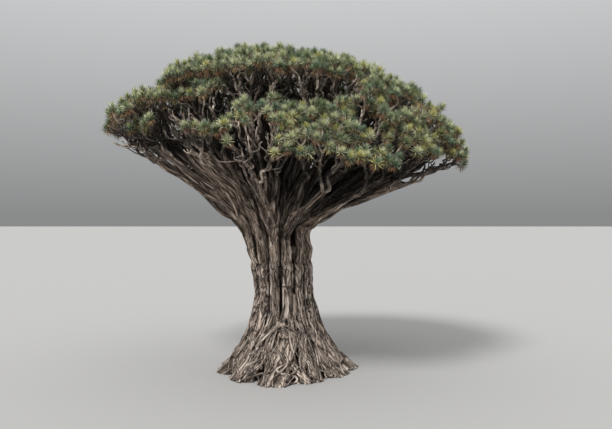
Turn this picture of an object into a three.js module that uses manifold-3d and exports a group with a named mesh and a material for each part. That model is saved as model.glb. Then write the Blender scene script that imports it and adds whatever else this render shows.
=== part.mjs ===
// A dragon blood tree: an old fluted trunk that flares out to the ground, a funnel of limbs that
// rises from its fork, and an umbrella of leaf rosettes that stand on forking twigs.
// Millimetres, +Z up. The origin is the middle of the flat cut at ground level.
// The tree's front faces -Y, and azimuths turn from +X towards +Y.
import * as THREE from "three";
import { mergeVertices } from "three/addons/utils/BufferGeometryUtils.js";
import Module from "manifold-3d";

const wasm = await Module();
wasm.setup();

const radians = THREE.MathUtils.degToRad;
const lerp = THREE.MathUtils.lerp;
const UP = new THREE.Vector3(0, 0, 1);
const GOLDEN_ANGLE = Math.PI * (3 - Math.sqrt(5));

// Trunk
const FORK_HEIGHT = 6300;
const WAIST_RADIUS = 1260;
const FLARE = { growth: 1680, height: 1700, power: 1.3 };
const FUNNEL = { growth: 400, start: 3700, power: 1.6 };
const TRUNK_LEAN = { x: -350, power: 2.2 };
const ROOTS = { count: 11, relief: 0.1, fade: 2100, round: 0.7, toes: 0.035, toeHeight: 350 };
const MOUND = { azimuth: -94, width: 27, growth: 480, height: 1900 };
// Ribs run down from under the outer boughs and turn by the twist, in degrees, on their way.
const RIBS = { count: 13, turn: 11, twist: -20, relief: 0.1, round: 0.6, mean: 1.45 };
const TRUNK_MESH = { sides: 4 * RIBS.count, rings: 15, crowding: 1.35 };

// Crown
const CROWN_CENTRE = new THREE.Vector3(50, 100, 0);
const CROWN_TOP = 16000;
const DOME = {
  apexX: -900,
  leftSpan: 8900,
  rightSpan: 10500,
  depthSpan: 8900,
  leftFall: 3900,
  rightFall: 4250,
  power: 2.15,
};
const DEPTH_SHARE = 0.9;
// The outer masses in front hang on a lower shelf, those at the front left are drawn in, and those
// on the left lie flatter.
const SHELF = { azimuth: -72, width: 46, drop: 1900, inset: 550, tilt: 12 };
const HOLLOW = { azimuth: -140, width: 27, drop: 350, inset: 1150, tilt: -22 };
const RIM = { azimuth: 180, width: 40, inset: 150, tilt: -14 };
// Each ring of masses: its limbs' seats on the fork and their radii, and how far a limb's end lies
// under its mass, whose patch of crown is this wide, sags this far at its edge and tilts outwards.
const RINGS = [
  { name: "top", count: 1, turn: 0, reach: 0, seat: 0, root: 180, tip: 115, under: 1000 },
  { name: "inner", count: 5, turn: 18, reach: 3000, seat: 400, root: 205, tip: 125, under: 1150 },
  { name: "middle", count: 10, turn: 0, reach: 5650, seat: 870, root: 250, tip: 145, under: 1700 },
  { name: "outer", count: 13, turn: 11, reach: 8300, seat: 1370, root: 300, tip: 165, under: 2250 },
];
const PATCHES = {
  top: { width: 1600, sag: 260, tilt: 0 },
  inner: { width: 1950, sag: 260, tilt: 9 },
  middle: { width: 2000, sag: 300, tilt: 22 },
  outer: { width: 2050, sag: 750, tilt: 46 },
};
const JITTER = { azimuth: 3.5, reach: 220, height: 160 };

// Limbs: a bough runs along the first part of its limb's curve, and a mass's stem along the rest.
// Limbs on the right climb before they spread, and those on the left lean out at once.
const LIMB = { leftOut: 0.15, rightOut: 0, liftUp: 0.42, arriveOut: 0.57, arriveUp: 0.4 };
const BOUGH = { share: 0.72, sides: 6, rings: 6, sway: 110, root: -260 };
const STEM = { share: 0.86, taper: 0.85 };
const CLEARANCE = 0.5;
const FREE_SPACE = 8;

// Masses: twigs fork from the stem to each tip, where a rosette's heart carries its open leaves.
const TIPS_PER_MASS = 5;
const PATCH = { samples: 260, rounds: 12, sunk: 330 };
const TWIG = { sides: 4, forkAt: 0.45, taper: 0.8, side: 0.74, tipRadius: 70 };
const HEART = { radius: 240, shoulder: 90, height: 720 };
const LEAF = { length: 900, width: 285, thickness: 56, widest: 0.15, tilt: 60 };

const BARK = new THREE.MeshStandardMaterial({ color: 0x6b5f54, roughness: 0.95, metalness: 0 });
const LEAVES = new THREE.MeshStandardMaterial({ color: 0x71855a, roughness: 0.7, metalness: 0 });

// A seeded generator of numbers from 0 to 1.
function seeded(seed) {
  let state = seed >>> 0;
  return () => {
    state = (state + 0x6d2b79f5) >>> 0;
    let t = Math.imul(state ^ (state >>> 15), 1 | state);
    t = (t + Math.imul(t ^ (t >>> 7), 61 | t)) ^ t;
    return ((t ^ (t >>> 14)) >>> 0) / 4294967296;
  };
}

// A smooth bump of height 1 around an azimuth, in degrees, that falls to a third at its width.
function bump(azimuth, shape) {
  const apart = THREE.MathUtils.euclideanModulo(azimuth - shape.azimuth + 180, 360) - 180;
  return Math.exp(-((apart / shape.width) ** 2));
}

function polar(azimuth, reach, z) {
  return new THREE.Vector3(reach * Math.cos(azimuth), reach * Math.sin(azimuth), z);
}

// Turns a closed geometry into a manifold solid.
function toSolid(geometry) {
  geometry.deleteAttribute("normal");
  geometry.deleteAttribute("uv");
  const merged = mergeVertices(geometry, 1e-3);
  return new wasm.Manifold(
    new wasm.Mesh({
      numProp: 3,
      vertProperties: new Float32Array(merged.attributes.position.array),
      triVerts: new Uint32Array(merged.index.array),
    }),
  );
}

// Turns the largest body of a solid back into a geometry, so that no scrap or sealed hollow is left.
function toGeometry(solid) {
  const mesh = largest(solid).getMesh();
  return new THREE.BufferGeometry()
    .setAttribute("position", new THREE.BufferAttribute(mesh.vertProperties, 3))
    .setIndex(new THREE.BufferAttribute(mesh.triVerts, 1));
}

function largest(solid) {
  return solid.decompose().reduce((a, b) => (b.volume() > a.volume() ? b : a));
}

function directionOf(from, to) {
  return to.clone().sub(from).normalize();
}

// A frame across a path at each of its points, turned as little as possible from one to the next.
// The path may set out in a heading of its own.
function framesAlong(points, heading) {
  let across = new THREE.Vector3(0.31, 0.95, 0.07);
  const last = points.length - 1;
  return points.map((_, i) => {
    const ahead =
      i === 0 && heading
        ? heading
        : directionOf(points[Math.max(i - 1, 0)], points[Math.min(i + 1, last)]);
    across = across.clone().addScaledVector(ahead, -across.dot(ahead)).normalize();
    return { across, beside: across.clone().cross(ahead) };
  });
}

// A closed bar through a row of points with a radius at each. It may end in a point.
function barSolid(points, radii, sides, heading) {
  const rings = points.length - 1;
  const geometry = new THREE.CylinderGeometry(radii[rings] ? 1 : 0, 1, 1, sides, rings);
  const frames = framesAlong(points, heading);
  const position = geometry.getAttribute("position");
  for (let i = 0; i < position.count; i++) {
    const ring = Math.round((position.getY(i) + 0.5) * rings);
    const out = Math.hypot(position.getX(i), position.getZ(i));
    const scale = out > 1e-6 ? radii[ring] / out : 0;
    const point = points[ring]
      .clone()
      .addScaledVector(frames[ring].across, position.getX(i) * scale)
      .addScaledVector(frames[ring].beside, position.getZ(i) * scale);
    position.setXYZ(i, point.x, point.y, point.z);
  }
  return toSolid(geometry);
}

// The azimuth of the first rib at a height.
function ribAzimuth(z) {
  return radians(RIBS.turn + RIBS.twist * (1 - z / FORK_HEIGHT));
}

// The trunk's radius at an azimuth and height: a ribbed waist, a flare of rounded roots below, a
// mound of roots in front and a funnel above.
function trunkRadius(azimuth, z) {
  const flare = FLARE.growth * Math.exp(-((z / FLARE.height) ** FLARE.power));
  const rise = Math.max(0, z - FUNNEL.start) / (FORK_HEIGHT - FUNNEL.start);
  const funnel = FUNNEL.growth * rise ** FUNNEL.power;
  const mound =
    MOUND.growth *
    bump(THREE.MathUtils.radToDeg(azimuth), MOUND) *
    Math.exp(-((z / MOUND.height) ** 4));
  const near = Math.exp(-z / ROOTS.fade);
  const ridge = 2 * Math.abs(Math.cos((ROOTS.count * azimuth) / 2)) ** ROOTS.round - 1;
  const uneven = 1 + 0.35 * Math.sin(2 * azimuth + 0.8) + 0.25 * Math.cos(3 * azimuth);
  const rib =
    2 * Math.abs(Math.cos((RIBS.count * (azimuth - ribAzimuth(z))) / 2)) ** RIBS.round - RIBS.mean;
  const relief =
    ROOTS.relief * near * ridge * uneven +
    ROOTS.toes * Math.exp(-z / ROOTS.toeHeight) * ridge +
    RIBS.relief * rib * (1 - near);
  return (WAIST_RADIUS + flare + mound + funnel) * (1 + relief);
}

function trunkMiddle(z) {
  return new THREE.Vector3(TRUNK_LEAN.x * (z / FORK_HEIGHT) ** TRUNK_LEAN.power, 0, z);
}

const FORK_HEADING = directionOf(trunkMiddle(0.95 * FORK_HEIGHT), trunkMiddle(FORK_HEIGHT));

// The trunk from the ground to the fork, grown outwards and upwards by a clearance.
function trunkSolid(clearance) {
  const { sides, rings, crowding } = TRUNK_MESH;
  const geometry = new THREE.CylinderGeometry(1, 1, 1, sides, rings);
  const position = geometry.getAttribute("position");
  for (let i = 0; i < position.count; i++) {
    const share = position.getY(i) + 0.5;
    const z = FORK_HEIGHT * share ** crowding;
    const [x, y] = [position.getX(i), -position.getZ(i)];
    const out = Math.hypot(x, y);
    const azimuth = Math.atan2(y, x) + ribAzimuth(z);
    const radius = out < 0.5 ? 0 : trunkRadius(azimuth, z) + clearance;
    const middle = trunkMiddle(z);
    const lift = share === 1 ? clearance : 0;
    position.setXYZ(
      i,
      middle.x + radius * Math.cos(azimuth),
      middle.y + radius * Math.sin(azimuth),
      z + lift,
    );
  }
  return toSolid(geometry);
}

// The height of the crown's surface over a point of the ground plan.
function domeHeight(x, y) {
  const apart = new THREE.Vector2(x - DOME.apexX, y);
  const right = 0.5 * (1 + (apart.length() > 1 ? apart.x / apart.length() : 0));
  const span = lerp(DOME.leftSpan, DOME.rightSpan, right);
  const out = Math.hypot(apart.x / span, y / DOME.depthSpan);
  return CROWN_TOP - lerp(DOME.leftFall, DOME.rightFall, right) * out ** DOME.power;
}

// Where each mass of foliage sits on the crown, which way it faces, and where its limb is rooted.
function layOutMasses() {
  const random = seeded(11);
  const masses = [];
  for (const ring of RINGS) {
    for (let i = 0; i < ring.count; i++) {
      const spread = () => (ring.count > 1 ? random() - 0.5 : 0);
      const degrees = ring.turn + (360 / ring.count) * i + 2 * JITTER.azimuth * spread();
      const azimuth = radians(degrees);
      const outer = ring.name === "outer";
      const shelf = outer ? bump(degrees, SHELF) : 0;
      const hollow = outer ? bump(degrees, HOLLOW) : 0;
      const rim = outer ? bump(degrees, RIM) : 0;
      const inset = shelf * SHELF.inset + hollow * HOLLOW.inset + rim * RIM.inset;
      const reach = ring.reach + 2 * JITTER.reach * spread() - inset;
      const x = CROWN_CENTRE.x + reach * Math.cos(azimuth);
      const y = CROWN_CENTRE.y + reach * DEPTH_SHARE * Math.sin(azimuth);
      const height = 2 * JITTER.height * spread() - shelf * SHELF.drop - hollow * HOLLOW.drop;
      const patch = PATCHES[ring.name];
      const turned = shelf * SHELF.tilt + hollow * HOLLOW.tilt + rim * RIM.tilt;
      const tilt = radians(patch.tilt + turned);
      const facing = polar(azimuth, Math.sin(tilt), Math.cos(tilt));
      const downhill = polar(azimuth, Math.cos(tilt), -Math.sin(tilt));
      masses.push({
        ring,
        patch,
        name: ring.count > 1 ? `${ring.name}_${String(i + 1).padStart(2, "0")}` : ring.name,
        azimuth,
        centre: new THREE.Vector3(x, y, domeHeight(x, y) + height),
        facing,
        downhill,
        sideways: facing.clone().cross(downhill),
        seat: polar(azimuth, ring.seat, 0).add(trunkMiddle(FORK_HEIGHT)),
        seed: 100 + masses.length,
      });
    }
  }
  return masses;
}

// The whole limb's curve, from its seat on the fork to a point under its mass.
function limbCurve(mass) {
  const end = mass.centre.clone().addScaledVector(UP, -mass.ring.under);
  const run = end.clone().sub(mass.seat);
  const flat = new THREE.Vector3(run.x, run.y, 0);
  const liftOut = lerp(LIMB.leftOut, LIMB.rightOut, 0.5 * (1 + Math.cos(mass.azimuth)));
  const lift = flat
    .clone()
    .multiplyScalar(liftOut)
    .addScaledVector(FORK_HEADING, LIMB.liftUp * run.z);
  const arrive = flat
    .clone()
    .multiplyScalar(LIMB.arriveOut)
    .addScaledVector(UP, LIMB.arriveUp * run.z);
  const curve = new THREE.CubicBezierCurve3(
    mass.seat,
    mass.seat.clone().add(lift),
    end.clone().sub(arrive),
    end,
  );
  const phase = seeded(mass.seed)() * 2 * Math.PI;
  return (share) => {
    const sway = BOUGH.sway * Math.sin(Math.PI * Math.min(share / BOUGH.share, 1));
    const turn = phase + 5 * share;
    return curve
      .getPoint(share)
      .add(new THREE.Vector3(Math.cos(turn) * sway, Math.sin(turn) * sway, 0));
  };
}

// The points of a bough, rooted a little below the fork so that the trunk cuts it to fit.
function boughPoints(mass) {
  const limb = limbCurve(mass);
  const points = Array.from({ length: BOUGH.rings + 1 }, (_, i) =>
    limb((i / BOUGH.rings) * BOUGH.share),
  );
  points[0].addScaledVector(UP, BOUGH.root);
  return points;
}

// A bough: one tapering limb.
function boughSolid(mass, grown) {
  const { root, tip } = mass.ring;
  const points = boughPoints(mass);
  const radii = points.map((_, i) => lerp(root, tip, (i / BOUGH.rings) ** 0.75) + grown);
  return barSolid(points, radii, BOUGH.sides);
}

// The part of a mass's patch of crown that lies nearer to it than to any other mass, as points.
function patchPoints(mass, masses) {
  const points = [];
  for (let i = 0; i < PATCH.samples; i++) {
    const share = (i + 0.5) / PATCH.samples;
    const out = mass.patch.width * Math.sqrt(share);
    const point = mass.centre
      .clone()
      .addScaledVector(mass.downhill, out * Math.cos(i * GOLDEN_ANGLE))
      .addScaledVector(mass.sideways, out * Math.sin(i * GOLDEN_ANGLE))
      .addScaledVector(mass.facing, -mass.patch.sag * share);
    const own = point.distanceTo(mass.centre);
    if (masses.every((other) => other === mass || point.distanceTo(other.centre) > own))
      points.push(point);
  }
  return points;
}

// Shares a patch evenly among its tips: each tip moves to the middle of the points nearest to it.
function shareOut(points, count) {
  let tips = Array.from({ length: count }, (_, i) =>
    points[Math.floor(((i + 0.5) * points.length) / count)].clone(),
  );
  for (let round = 0; round < PATCH.rounds; round++) {
    const groups = tips.map(() => []);
    for (const point of points) {
      const reach = tips.map((tip) => tip.distanceToSquared(point));
      groups[reach.indexOf(Math.min(...reach))].push(point);
    }
    tips = tips.map((tip, i) => (groups[i].length ? middleOf(groups[i]) : tip));
  }
  return tips;
}

function middleOf(points) {
  return points
    .reduce((sum, point) => sum.add(point), new THREE.Vector3())
    .divideScalar(points.length);
}

// Splits tips into two groups, round the two that lie furthest apart.
function halves(tips) {
  let [first, second, widest] = [tips[0], tips[1], 0];
  for (const a of tips)
    for (const b of tips)
      if (a.distanceTo(b) > widest) [first, second, widest] = [a, b, a.distanceTo(b)];
  const near = tips.filter((tip) => tip.distanceTo(first) <= tip.distanceTo(second));
  return [near, tips.filter((tip) => !near.includes(tip))];
}

// A sword-shaped leaf of eight faces, widest near its root.
function leafSolid(root, direction, across) {
  const { length, width, thickness, widest } = LEAF;
  const leaf = new THREE.OctahedronGeometry(1);
  const flat = direction.clone().cross(across).normalize();
  const position = leaf.getAttribute("position");
  for (let i = 0; i < position.count; i++) {
    const along = position.getZ(i);
    const share = along > 0.5 ? 1 : along < -0.5 ? 0 : widest;
    const point = root
      .clone()
      .addScaledVector(direction, share * length)
      .addScaledVector(across, (position.getX(i) * width) / 2)
      .addScaledVector(flat, (position.getY(i) * thickness) / 2);
    position.setXYZ(i, point.x, point.y, point.z);
  }
  return toSolid(leaf);
}

// A twig through its forks to a tip, where it swells into the heart of a rosette: young leaves that
// are furled into a spike, with one flat side for each open leaf.
function twigWithHeart(points, radii, axis, heading) {
  const shoulder = points.at(-1).clone().addScaledVector(axis, HEART.shoulder);
  const spike = shoulder.clone().addScaledVector(axis, HEART.height);
  const path = [...points, shoulder, spike];
  const { across, beside } = framesAlong(path).at(-1);
  const twig = barSolid(path, [...radii, HEART.radius, 0], TWIG.sides, heading);
  const leaves = Array.from({ length: TWIG.sides }, (_, i) => {
    const azimuth = ((i + 0.5) * 2 * Math.PI) / TWIG.sides;
    const outward = beside
      .clone()
      .multiplyScalar(Math.cos(azimuth))
      .addScaledVector(across, Math.sin(azimuth));
    const direction = axis
      .clone()
      .multiplyScalar(Math.cos(radians(LEAF.tilt)))
      .addScaledVector(outward, Math.sin(radians(LEAF.tilt)));
    return leafSolid(shoulder, direction, axis.clone().cross(outward));
  });
  return { twig, leaves };
}

function boxesMeet(a, b, room) {
  return [0, 1, 2].every((k) => a.min[k] - room < b.max[k] && b.min[k] - room < a.max[k]);
}

// True if a solid keeps its distance from every placed piece.
function isFree(solid, placed) {
  const box = solid.boundingBox();
  return placed.every(
    (piece) =>
      !boxesMeet(box, piece.box, FREE_SPACE) || solid.minGap(piece.solid, FREE_SPACE) >= FREE_SPACE,
  );
}

// A mass of foliage: a stem that goes on from its bough and forks to each tip, with a rosette there.
// A leaf that would touch a limb or another mass is left out, and so is a twig with its rosette.
function massSolid(mass, masses, placed) {
  const { tip } = mass.ring;
  const [beforeEnd, boughEnd] = boughPoints(mass).slice(-2);
  const heading = directionOf(beforeEnd, boughEnd);
  const others = placed.filter((piece) => piece.name !== `bough_${mass.name}`);
  const pieces = [];

  const addTwig = (points, radii, end) => {
    const axis = mass.facing
      .clone()
      .add(UP)
      .addScaledVector(directionOf(points.at(-1), end), 0.5)
      .normalize();
    const { twig, leaves } = twigWithHeart(
      [...points, end],
      [...radii, TWIG.tipRadius],
      axis,
      points[0] === stemRoot ? heading : undefined,
    );
    if (isFree(twig, others)) pieces.push(twig, ...leaves.filter((leaf) => isFree(leaf, placed)));
  };
  // The first half of a group of tips continues the twig so far, and the second half sprouts from it.
  const grow = (points, radii, group) => {
    if (group.length === 1) {
      addTwig(points, radii, group[0].clone().addScaledVector(mass.facing, -PATCH.sunk));
      return;
    }
    const from = points.at(-1);
    const [first, second] = halves(group);
    for (const half of [first, second]) {
      let trail = half === first ? points : [from];
      let girths = half === first ? radii : [radii.at(-1) * TWIG.side];
      if (half.length > 1) {
        trail = [...trail, from.clone().lerp(middleOf(half), TWIG.forkAt)];
        girths = [...girths, girths.at(-1) * TWIG.taper];
      }
      grow(trail, girths, half);
    }
  };

  const stemRoot = boughEnd.clone().addScaledVector(heading, CLEARANCE);
  const stemEnd = limbCurve(mass)(STEM.share);
  const tips = shareOut(patchPoints(mass, masses), TIPS_PER_MASS);
  grow([stemRoot, stemEnd], [tip, tip * STEM.taper], tips);
  return wasm.Manifold.union(pieces);
}

function meshOf(name, solid, material) {
  const mesh = new THREE.Mesh(toGeometry(solid), material);
  mesh.name = name;
  return mesh;
}

const tree = new THREE.Group();
const placed = [];

function place(name, solid, material) {
  const body = largest(solid);
  placed.push({ name, solid: body, box: body.boundingBox() });
  tree.add(meshOf(name, body, material));
}

place("trunk", trunkSolid(0), BARK);

const masses = layOutMasses();
const cutters = [trunkSolid(CLEARANCE)];
for (const mass of [...masses].reverse()) {
  const whole = boughSolid(mass, 0);
  const cut = cutters.reduce((rest, cutter) => rest.subtract(cutter), whole);
  place(`bough_${mass.name}`, cut, BARK);
  cutters.push(boughSolid(mass, CLEARANCE));
}
for (const mass of masses) {
  place(`foliage_${mass.name}`, massSolid(mass, masses, placed), LEAVES);
}

export default tree;
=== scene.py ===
"""An ancient dragon tree: a ropey, flaring trunk, a funnel of limbs and an umbrella of leaf rosettes.

The limbs and masses follow the same rule as the solids in the frame, carried on to finer twigs.
Sizes are in metres. +Z is up, the tree's front faces -Y, and azimuths turn from +X towards +Y.
"""

import logging
import math
from dataclasses import dataclass, field
from enum import Enum
from typing import Any, Callable, Iterator, Mapping, Sequence

import bpy
import numpy as np
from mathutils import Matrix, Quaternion, Vector

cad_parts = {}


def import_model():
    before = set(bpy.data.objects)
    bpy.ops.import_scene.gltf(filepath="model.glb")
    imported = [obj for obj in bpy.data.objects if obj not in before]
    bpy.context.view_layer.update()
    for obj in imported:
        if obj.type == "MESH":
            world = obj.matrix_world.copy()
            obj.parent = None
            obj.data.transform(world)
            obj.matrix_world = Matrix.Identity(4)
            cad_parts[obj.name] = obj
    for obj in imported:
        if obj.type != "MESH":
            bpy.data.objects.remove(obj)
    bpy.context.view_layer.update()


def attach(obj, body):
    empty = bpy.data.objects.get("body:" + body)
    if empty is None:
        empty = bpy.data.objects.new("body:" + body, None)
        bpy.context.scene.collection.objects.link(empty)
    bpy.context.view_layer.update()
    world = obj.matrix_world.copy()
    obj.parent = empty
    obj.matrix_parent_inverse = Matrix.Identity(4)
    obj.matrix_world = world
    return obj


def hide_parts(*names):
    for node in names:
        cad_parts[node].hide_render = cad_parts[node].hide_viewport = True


LOG = logging.getLogger("dragon_tree")
BODY = "root"
WORD = 0xFFFFFFFF
SEED_STEP = 0x6D2B79F5
UP = np.array([0.0, 0.0, 1.0])
FIRST_ACROSS = np.array([0.31, 0.95, 0.07])
GOLDEN_ANGLE = math.pi * (3 - math.sqrt(5))
FULL_TURN = 2 * math.pi
TINY = 1e-12

Array = np.ndarray
Pair = tuple[float, float]
Triple = tuple[float, float, float]
Inputs = Mapping[str | int, Any]


def seeded(seed: int) -> Iterator[float]:
    """Gives the same numbers from 0 to 1 as the generator that laid out the solids.

    Args:
        seed: The whole number that the row of numbers starts from.

    Returns:
        An endless iterator of numbers.
    """
    state = seed & WORD
    while True:
        state = (state + SEED_STEP) & WORD
        mixed = ((state ^ (state >> 15)) * (1 | state)) & WORD
        mixed = ((mixed + (((mixed ^ (mixed >> 7)) * (61 | mixed)) & WORD)) & WORD) ^ mixed
        yield ((mixed ^ (mixed >> 14)) & WORD) / (WORD + 1)


def unit(vector: Array) -> Array:
    """Returns a vector, or rows of vectors, at a length of one."""
    return vector / np.maximum(np.linalg.norm(vector, axis=-1, keepdims=True), TINY)


def smoothstep(low: float, high: float, value: Array) -> Array:
    """Returns numbers' places on a smooth rise from 0 at low to 1 at high."""
    share = np.clip((value - low) / (high - low), 0.0, 1.0)
    return share * share * (3 - 2 * share)


def polar(azimuth: Array, reach: Array, height: Array) -> Array:
    """Returns points from azimuths in radians, reaches and heights."""
    azimuth, reach, height = np.broadcast_arrays(azimuth, reach, height)
    return np.stack([reach * np.cos(azimuth), reach * np.sin(azimuth), height], axis=-1)


def window(rise: Pair, fall: Pair, value: Array) -> Array:
    """Returns numbers' places on a curve that rises to 1 over one stretch and falls over another."""
    return smoothstep(*rise, value) * (1 - smoothstep(*fall, value))


def degrees_from(centre: float, degrees: Array) -> Array:
    """Returns how far azimuths in degrees lie from a centre, from -180 to 180."""
    return (degrees - centre + 180) % 360 - 180


def wrapped(turn: Array) -> Array:
    """Returns turns in radians, brought between minus and plus half a turn."""
    return np.angle(np.exp(1j * turn))


def ripples(points: Array, pitch: float, waves: int, seed: int) -> Array:
    """A smooth, uneven field that sums waves in many directions.

    Args:
        points: Rows of coordinates.
        pitch: The typical distance from crest to crest.
        waves: How many waves are summed.
        seed: Seeds the waves' directions and phases.

    Returns:
        One number for each point, mostly between -1 and 1.
    """
    random = np.random.default_rng(seed)
    total = np.zeros(points.shape[:-1])
    for _ in range(waves):
        direction = unit(random.normal(size=points.shape[-1]))
        rate = FULL_TURN / (pitch * random.uniform(0.6, 1.6))
        total += np.sin(points @ direction * rate + random.uniform(0, FULL_TURN))
    return total / math.sqrt(waves)


def grooves(points: Array, pitch: float, share: float, seed: int) -> Array:
    """Returns a net of grooves that part and meet again: 1 in a groove's middle, 0 beside it."""
    return np.exp(-((ripples(points, 2 * pitch, 16, seed) / share) ** 2))


@dataclass(frozen=True)
class Bump:
    """A smooth bump round the tree, of height 1, that falls to a third at its width in degrees."""

    azimuth: float
    width: float

    def at(self, degrees: Array) -> Array:
        """Returns the bump's height at azimuths in degrees."""
        return np.exp(-((degrees_from(self.azimuth, degrees) / self.width) ** 2))


@dataclass(frozen=True)
class TrunkForm:
    """The trunk's smooth form, as in the solids."""

    fork_height: float = 6.3
    waist: float = 1.26
    flare_growth: float = 1.68
    flare_height: float = 1.7
    flare_power: float = 1.3
    funnel_growth: float = 0.4
    funnel_start: float = 3.7
    funnel_power: float = 1.6
    lean: float = -0.35
    lean_power: float = 2.2
    root_count: int = 11
    root_relief: float = 0.1
    root_fade: float = 2.1
    root_round: float = 0.7
    root_uneven: Pair = (0.35, 0.25)
    root_phase: float = 0.8
    toe_relief: float = 0.035
    toe_height: float = 0.35
    mound: Bump = Bump(-94, 27)
    mound_growth: float = 0.48
    mound_height: float = 1.9
    rib_count: int = 13
    rib_turn: float = 11
    rib_twist: float = -20
    rib_relief: float = 0.1
    rib_round: float = 0.6
    rib_mean: float = 1.45

    def twist(self, height: Array) -> Array:
        """Returns how far the ribs have turned at heights, in radians from their tops."""
        return math.radians(self.rib_twist) * (1 - height / self.fork_height)

    def bare(self, azimuth: Array, height: Array) -> Array:
        """Returns the trunk's radius without ribs and roots, at azimuths in radians and heights."""
        flare = self.flare_growth * np.exp(-((height / self.flare_height) ** self.flare_power))
        rise = np.maximum(0, height - self.funnel_start) / (self.fork_height - self.funnel_start)
        mound = self.mound_growth * self.mound.at(np.degrees(azimuth))
        mound = mound * np.exp(-((height / self.mound_height) ** 4))
        return self.waist + flare + mound + self.funnel_growth * rise**self.funnel_power

    def radius(self, azimuth: Array, height: Array) -> Array:
        """Returns the trunk's radius at azimuths in radians and heights."""
        near = np.exp(-height / self.root_fade)
        ridge = 2 * np.abs(np.cos(self.root_count * azimuth / 2)) ** self.root_round - 1
        twice, thrice = self.root_uneven
        uneven = 1 + twice * np.sin(2 * azimuth + self.root_phase) + thrice * np.cos(3 * azimuth)
        turned = azimuth - math.radians(self.rib_turn) - self.twist(height)
        rib = 2 * np.abs(np.cos(self.rib_count * turned / 2)) ** self.rib_round - self.rib_mean
        relief = self.root_relief * near * ridge * uneven + self.rib_relief * rib * (1 - near)
        relief = relief + self.toe_relief * np.exp(-height / self.toe_height) * ridge
        return self.bare(azimuth, height) * (1 + relief)

    def middle(self, height: Array) -> Array:
        """Returns the middle of the trunk at heights."""
        height = np.asarray(height, dtype=float)
        shift = self.lean * (np.maximum(height, 0) / self.fork_height) ** self.lean_power
        return np.stack([shift, np.zeros_like(shift), height], axis=-1)

    def heading(self) -> Array:
        """Returns the direction in which the trunk arrives at its fork."""
        return unit(self.middle(self.fork_height) - self.middle(0.95 * self.fork_height))


@dataclass(frozen=True)
class Ring:
    """A ring of foliage masses and the limbs that carry them."""

    name: str
    count: int
    turn: float
    reach: float
    seat: float
    root: float
    tip: float
    under: float
    width: float
    sag: float
    tilt: float
    stems: int


RINGS = (
    Ring("top", count=1, turn=0, reach=0.0, seat=0.0, root=0.18, tip=0.115,
         under=1.0, width=1.6, sag=0.26, tilt=0, stems=4),
    Ring("inner", count=5, turn=18, reach=3.0, seat=0.4, root=0.205, tip=0.125,
         under=1.15, width=1.95, sag=0.26, tilt=9, stems=6),
    Ring("middle", count=10, turn=0, reach=5.65, seat=0.87, root=0.25, tip=0.145,
         under=1.7, width=2.0, sag=0.3, tilt=22, stems=11),
    Ring("outer", count=13, turn=11, reach=8.3, seat=1.37, root=0.3, tip=0.165,
         under=2.25, width=2.05, sag=0.75, tilt=46, stems=15),
)


@dataclass(frozen=True)
class LimbForm:
    """How a limb rises from its seat, arrives under its mass and sways between.

    Limbs on the right climb before they spread, and those on the left lean out at once.
    """

    left_out: float = 0.15
    right_out: float = 0.0
    lift_up: float = 0.42
    arrive_out: float = 0.57
    arrive_up: float = 0.4
    bough_share: float = 0.72
    stem_share: float = 0.86
    taper_power: float = 0.75
    sway: float = 0.11
    sway_turn: float = 5.0
    left_tuck: float = 0.18
    right_tuck: float = 0.36
    tuck_share: float = 0.7
    tuck_rise: float = 0.6


@dataclass
class Mass:
    """One mass of foliage: its patch of the crown's surface, and the limb that carries it."""

    ring: Ring
    name: str
    centre: Array
    facing: Array
    downhill: Array
    sideways: Array
    azimuth: float
    seat: Array
    seed: int
    lift: Array
    form: LimbForm = LimbForm()

    @property
    def outer(self) -> bool:
        """Returns whether the mass is part of the rim."""
        return self.ring.name == "outer"

    def by_side(self, left: float, right: float) -> float:
        """Returns a value between the one for the tree's left side and the one for its right."""
        return left + (right - left) * 0.5 * (1 + math.cos(self.azimuth))

    def limb(self, share: Array) -> Array:
        """The whole limb, from its seat on the fork to a point under the mass.

        Args:
            share: Places along the limb, from 0 to 1.

        Returns:
            The limb's middle at each place.
        """
        share = np.atleast_1d(np.asarray(share, dtype=float))
        form = self.form
        end = self.centre - UP * self.ring.under
        run = end - self.seat
        flat = run * [1, 1, 0]
        lift_out = self.by_side(form.left_out, form.right_out)
        rise = self.seat + flat * lift_out + self.lift * form.lift_up * run[2]
        arrive = end - flat * form.arrive_out - UP * form.arrive_up * run[2]
        s = share[:, None]
        curve = (
            self.seat * (1 - s) ** 3
            + 3 * rise * s * (1 - s) ** 2
            + 3 * arrive * s**2 * (1 - s)
            + end * s**3
        )
        if self.outer:
            bow = np.sin(np.pi * np.clip(share / form.tuck_share, 0, 1))
            tuck = self.by_side(form.left_tuck, form.right_tuck) * bow
            curve = curve + polar(self.azimuth, -1.0, form.tuck_rise) * tuck[:, None]
        phase = next(seeded(self.seed)) * FULL_TURN
        sway = form.sway * np.sin(np.pi * np.minimum(share / form.bough_share, 1))
        turn = phase + form.sway_turn * share
        return curve + np.stack([np.cos(turn) * sway, np.sin(turn) * sway, 0 * sway], axis=-1)

    def radius(self, share: Array) -> Array:
        """Returns the limb's radius at places from 0 to 1 along it."""
        along = np.clip(share / self.form.bough_share, 0, 1) ** self.form.taper_power
        return self.ring.root + (self.ring.tip - self.ring.root) * along

    def beside(self, share: Array, turn: Array, away: Array) -> Array:
        """Points beside the limb.

        Args:
            share: Places along the limb.
            turn: Which side of it they are on, in radians: 0 is level, a quarter turn is below.
            away: How far they are from its middle.

        Returns:
            The points.
        """
        limb = self.limb(share)
        level = np.array([-math.sin(self.azimuth), math.cos(self.azimuth), 0.0])
        below = unit(np.cross(level, np.gradient(limb, axis=0)))
        return limb + (level * np.cos(turn)[:, None] + below * np.sin(turn)[:, None]) * away[:, None]


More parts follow.
